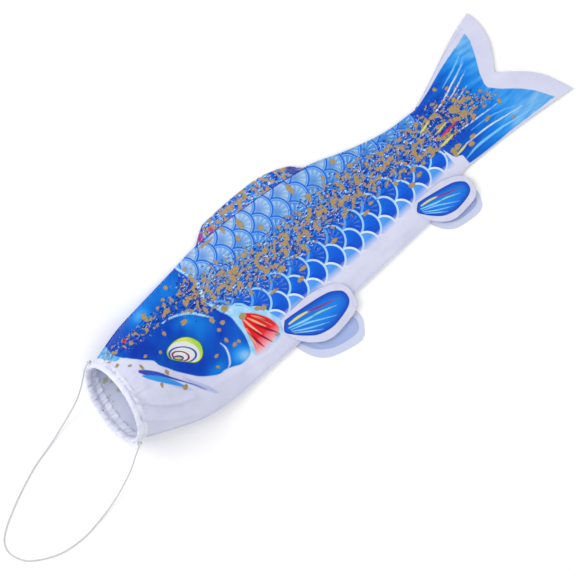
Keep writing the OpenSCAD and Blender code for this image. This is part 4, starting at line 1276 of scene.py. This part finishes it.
# Satin polyester of the back fin: blue printed with slanted gold dashes, cyan and white strokes.
fin_dashes, tree, shader = finish("Printed satin polyester, back fin", Roughness=0.48, Sheen_Weight=0.02,
                                  Sheen_Roughness=0.35, Specular_IOR_Level=0.08)
lie = triple(tree, "lie")
spot = add(tree, "CombineXYZ", {0: lie[0], 1: lie[1]})
slant = add(tree, "Mapping", {"Vector": spot, "Rotation": (0, 0, math.radians(-38)),
                                        "Scale": (0.5, 1.3, 1.0)})
cloud = add(tree, "TexNoise", {"Vector": spot, "Scale": 0.09, "Detail": 2.0})
colour = ramp(tree, cloud.outputs[0], [(0.3, "#1646c0"), (0.5, "#1f68e0"), (0.7, "#3f9cf0")])
for size, cut, code, most in ((0.26, 0.585, "#12288a", 0.9), (0.34, 0.60, "#8fd6fa", 0.85),
                              (0.46, 0.64, "#f0f5fc", 0.9)):
    field = patches(tree, slant, cut, 12.0, {"Scale": size, "Detail": 1.5, "Distortion": 0.4})
    colour = over(tree, colour, code, field, 0.3, most)
blotch = add(tree, "TexNoise", {"Vector": spot, "Scale": 0.17, "Detail": 3.0, "Roughness": 0.6})
field = add(tree, "Math", {0: 0.515, 1: blotch.outputs[0]}, operation="SUBTRACT")
field = add(tree, "Math", {0: field, 1: 14.0}, operation="MULTIPLY")
gold = ramp(tree, blotch.outputs[0], [(0.5, "#9a8254"), (0.7, "#b8a070")])
colour = over(tree, colour, gold, field, 0.35, 0.95)
for x, y, wide, code in ((11, 4, 4.5, "#a32f86"), (27, 3, 2.6, "#d02f4a"), (148, 2.5, 6.0, "#3a3f9c")):
    spotted = add(tree, "VectorMath", {0: spot, 1: (x, y, 0)}, operation="DISTANCE").outputs["Value"]
    field = add(tree, "Math", {0: spotted, 1: wide}, operation="SUBTRACT")
    colour = over(tree, colour, code, field, 1.4, 0.8)
# Painted shade: a dark navy band along the fin's root, within 0.9 mm of where it goes into the back seam.
root_shade_band = add(tree, "Math", {0: lie[1], 1: 0.9}, operation="SUBTRACT")
colour = over(tree, colour, "#1b2f86", root_shade_band, 0.4, 0.8)
feed(tree, shader, {"Base Color": colour})
fin_relief(tree, shader, lie)
back_fin = piece("back_fin_cloth", points, faces, both_sides({"lie": fin_lie}))
back_fin.data.materials.append(fin_dashes)
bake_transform(back_fin)
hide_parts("back_fin")

# --- Side fins ---------------------------------------------------------------------------------------
# Four leaf-shaped fins of doubled satin, printed on one side and bordered in white. Each is sewn on by a
# short row of stitches at its narrow end: the left pair lies on the body, the right pair under it.
# Edges are [along the fin from where it bends, across it]; what lies before 0 is sewn down.
fin_rows, fin_columns, fin_half_t = 70, 46, 0.22
fin_upper = [(-3, 9), (0, 10), (14, 16), (46, 28), (76, 29), (90, 19), (94, 2)]
fin_lower = [(-3, -9), (0, -10), (13, -23), (33, -32), (52, -32), (73, -22), (89, -11), (94, -2)]
fin_print = [
    (-2, -6.1), (1.5, 4.8), (6.4, 8.7), (37.5, 16.8), (62.4, 21.6), (75.7, 20.1), (83.7, 15.6), (86.5, 4.9),
    (80.5, -4.8), (65.3, -15.6), (53.4, -21.0), (36.1, -23.1), (20.8, -19.0), (7.9, -13.1),
]
fin_strokes = {
    "yellow": [[(6.5, 1.5, .9), (18, 5.2, 1.5), (30, 7.6, 1.2), (36, 7.8, .7)]],
    "red": [[(33, 7.8, .8), (46, 8.4, 1.3), (60, 9.8, .9), (77, 11.2, .2)]],
    "cyan": [
        [(4.5, -3, .7), (27, -1, 1.3), (36, .4, .9)],
        [(6, -6, .5), (29, -5, .9), (47, -6.6, .7), (66, -8.2, .2)],
        [(6.8, -8.4, .5), (26, -11.4, .9), (40, -12.4, .7), (54, -12.9, .2)],
        [(8.6, -11, .4), (28, -15.6, .8), (45, -18.9, .2)],
    ],
    "green": [[(34, .2, .6), (46, 2.2, 1.0), (58, 3.0, .7), (70, 3.2, .2)]],
}


def fin_satin(name, strength):
    """A fin's cloth: a white border, then blue that is lightest in the middle, with long brush strokes."""
    material, tree, shader = finish(name, Roughness=0.48, Sheen_Weight=0.02, Sheen_Roughness=0.35,
                                    Specular_IOR_Level=0.08)
    lie = triple(tree, "lie")
    drawn = triple(tree, "fin_fields")
    inks = triple(tree, "fin_inks")
    spot = add(tree, "CombineXYZ", {0: lie[0], 1: lie[1]})
    cloud = add(tree, "TexNoise", {"Vector": spot, "Scale": 0.05, "Detail": 2.0})
    colour = ramp(tree, cloud.outputs[0], [(0.3, "#c9cce4"), (0.7, "#d3d5ea")])
    depth = add(tree, "MapRange", {"Value": drawn[0], "From Min": 0.0, "From Max": -16.0})
    blue = ramp(tree, depth, [(0.0, "#1236a8"), (0.12, "#164ec2"), (0.45, "#1a6cd6"), (1.0, "#217ee2")])
    colour = layered(tree, colour, (blue, drawn[0], 0.5), ("#8fd6f6", drawn[1], 0.5, 0.9),
                     ("#9fdc9c", drawn[2], 0.5, 0.9), ("#dcdc6a", inks[0], 0.5, 0.95),
                     ("#8f2a4c", inks[1], 0.5, 0.9))
    if strength < 1:
        colour = add(tree, "Mix", {"Factor": strength, 6: linear("#c2cde8"), 7: colour},
                     data_type="RGBA").outputs[2]
    feed(tree, shader, {"Base Color": colour})
    fin_relief(tree, shader, lie)
    return material


# Printed face of a fin, and its paler back where the blue only shows through.
fin_face = fin_satin("Printed satin polyester, fin", 1.0)
fin_back = fin_satin("Back of printed satin polyester, fin", 0.34)
skin_plan = np.concatenate([surfaces[1, end].reshape(-1, 3) for end in ("front", "rear")])


def skin_height(x, y):
    """Height of the left panel's outside nearest to each spot in plan, or 0 over 3 mm beyond the body."""
    gap = (skin_plan[:, 0][None] - x[:, None]) ** 2 + (skin_plan[:, 1][None] - y[:, None]) ** 2
    near = gap.argmin(axis=1)
    return np.where(gap[np.arange(len(x)), near] < 9, skin_plan[near, 2], 0)


def level_at(x, y):
    """Height of the unfolded left panel over a spot in plan: seam + (crown - seam) sin(acos across)^1.35."""
    back, belly, seam_z = curve(back_edge, x), curve(belly_edge, x), curve(seam_rise, x)
    across = (y - (back + belly) / 2) / ((back - belly) / 2)
    return float(seam_z + (curve(crown, x) - seam_z) * math.sin(math.acos(np.clip(across, -1, 1))) ** 1.35)


for name, side, root, turn, size in (
    ("pectoral_fin_left", 1, (219, -63), -20, 1.0), ("pectoral_fin_right", -1, (221, -68), -43, 1.0),
    ("pelvic_fin_left", 1, (438, -56), -23, 0.8), ("pelvic_fin_right", -1, (440, -61.5), -34, 0.8),
):
    s, t = np.meshgrid(np.linspace(0, 1, fin_rows), np.linspace(0, 1, fin_columns), indexing="ij")
    ease = (1 - np.cos(np.pi * s)) / 2 * 0.5 + s * 0.5
    upper, lower = along_line(smooth_line(fin_upper, 8), ease), along_line(smooth_line(fin_lower, 8), ease)
    flat = lower + (upper - lower) * t[..., None]
    lie = np.dstack([flat, np.zeros_like(s)]).reshape(-1, 3)
    spots = lie[:, :2]
    inside = distance(spots, smooth_line(np.array(fin_print, float), 6, closed=True), closed=True)
    rim_line = smooth_line(np.array(fin_upper + fin_lower[::-1], float), 6, closed=True)
    rim = -distance(spots, rim_line, closed=True)
    inks = {ink: stroke_field(spots, lines, 6, laid=np.asarray) for ink, lines in fin_strokes.items()}
    fields = {
        "lie": lie,
        "fin_fields": np.stack([inside, inks["cyan"], inks["green"]], axis=-1),
        "fin_inks": np.stack([inks["yellow"], inks["red"], rim], axis=-1),
    }
    angle = math.radians(turn)
    fx, fy = size * spots[:, 0], size * spots[:, 1]
    px = root[0] + fx * math.cos(angle) - fy * math.sin(angle)
    py = root[1] + fx * math.sin(angle) + fy * math.cos(angle)
    loose = np.clip(fx / (30 * size), 0, 1)
    quilt = 0.22 * np.sin(rim * 2 * np.pi / 5.0) * np.exp(-rim / 5)
    quilt += 0.25 * hills(60, fx, fy, 9) * np.exp(-rim / 6)
    if side > 0:
        reach = 8.0
        slope = (level_at(root[0], root[1] + reach) - level_at(root[0], root[1] - reach)) / (2 * reach)
        plane = level_at(*root) + (py - root[1]) * slope + 0.85
        wave = loose * (0.7 * hills(50 + root[0], fx, fy, 60, 1) + 0.5)
        pz = np.maximum(plane + wave + loose * quilt, skin_height(px, py) + 0.55)
        pz = np.maximum(pz, 2.2)
    else:
        pz = 0.45 + 0.12 * loose * quilt
    middle_sheet = np.stack([px, py, pz], axis=-1).reshape(fin_rows, fin_columns, 3)
    # The left fins show their printed face, and the right fins lie with theirs down.
    top, bottom = middle_sheet + [0, 0, fin_half_t], middle_sheet - [0, 0, fin_half_t]
    points, faces, parts = doubled(top, bottom)
    fin = piece(name + "_cloth", points, faces, both_sides(fields), parts)
    for cloth_side in ((fin_face, fin_back) if side > 0 else (fin_back, fin_face)):
        fin.data.materials.append(cloth_side)
    holder = "front" if "pectoral" in name else "rear"
    heading = np.array([math.cos(angle), math.sin(angle)])
    root_z = float(pz[spots[:, 0].argmin()])
    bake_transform(fin)
    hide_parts(name)

    # Bar of stitches at the fin's root, laid across the narrow end.
    count = 12
    across = (np.arange(count) - (count - 1) / 2) * 1.6 * size
    sx = root[0] - 1.2 * math.cos(angle) - across * math.sin(angle)
    sy = root[1] - 1.2 * math.sin(angle) + across * math.cos(angle)
    sz = skin_height(sx, sy) + 0.15 if side > 0 else np.full(count, 1.0)
    normals = np.tile([0, 0, 1.0], (count, 1))
    zigzag = np.where(np.arange(count) % 2 == 0, 1, -1) * math.radians(24)
    headings = np.stack([np.cos(angle + zigzag), np.sin(angle + zigzag), np.zeros(count)], axis=1)
    row = sewn(name.replace("fin", "root") + "_thread", np.stack([sx, sy, sz], axis=1), normals, headings,
               3.4 * size, 0.6, 0.5 if side > 0 else 0.4)
    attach(row, holder)
    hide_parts(name.replace("fin", "stitches"))
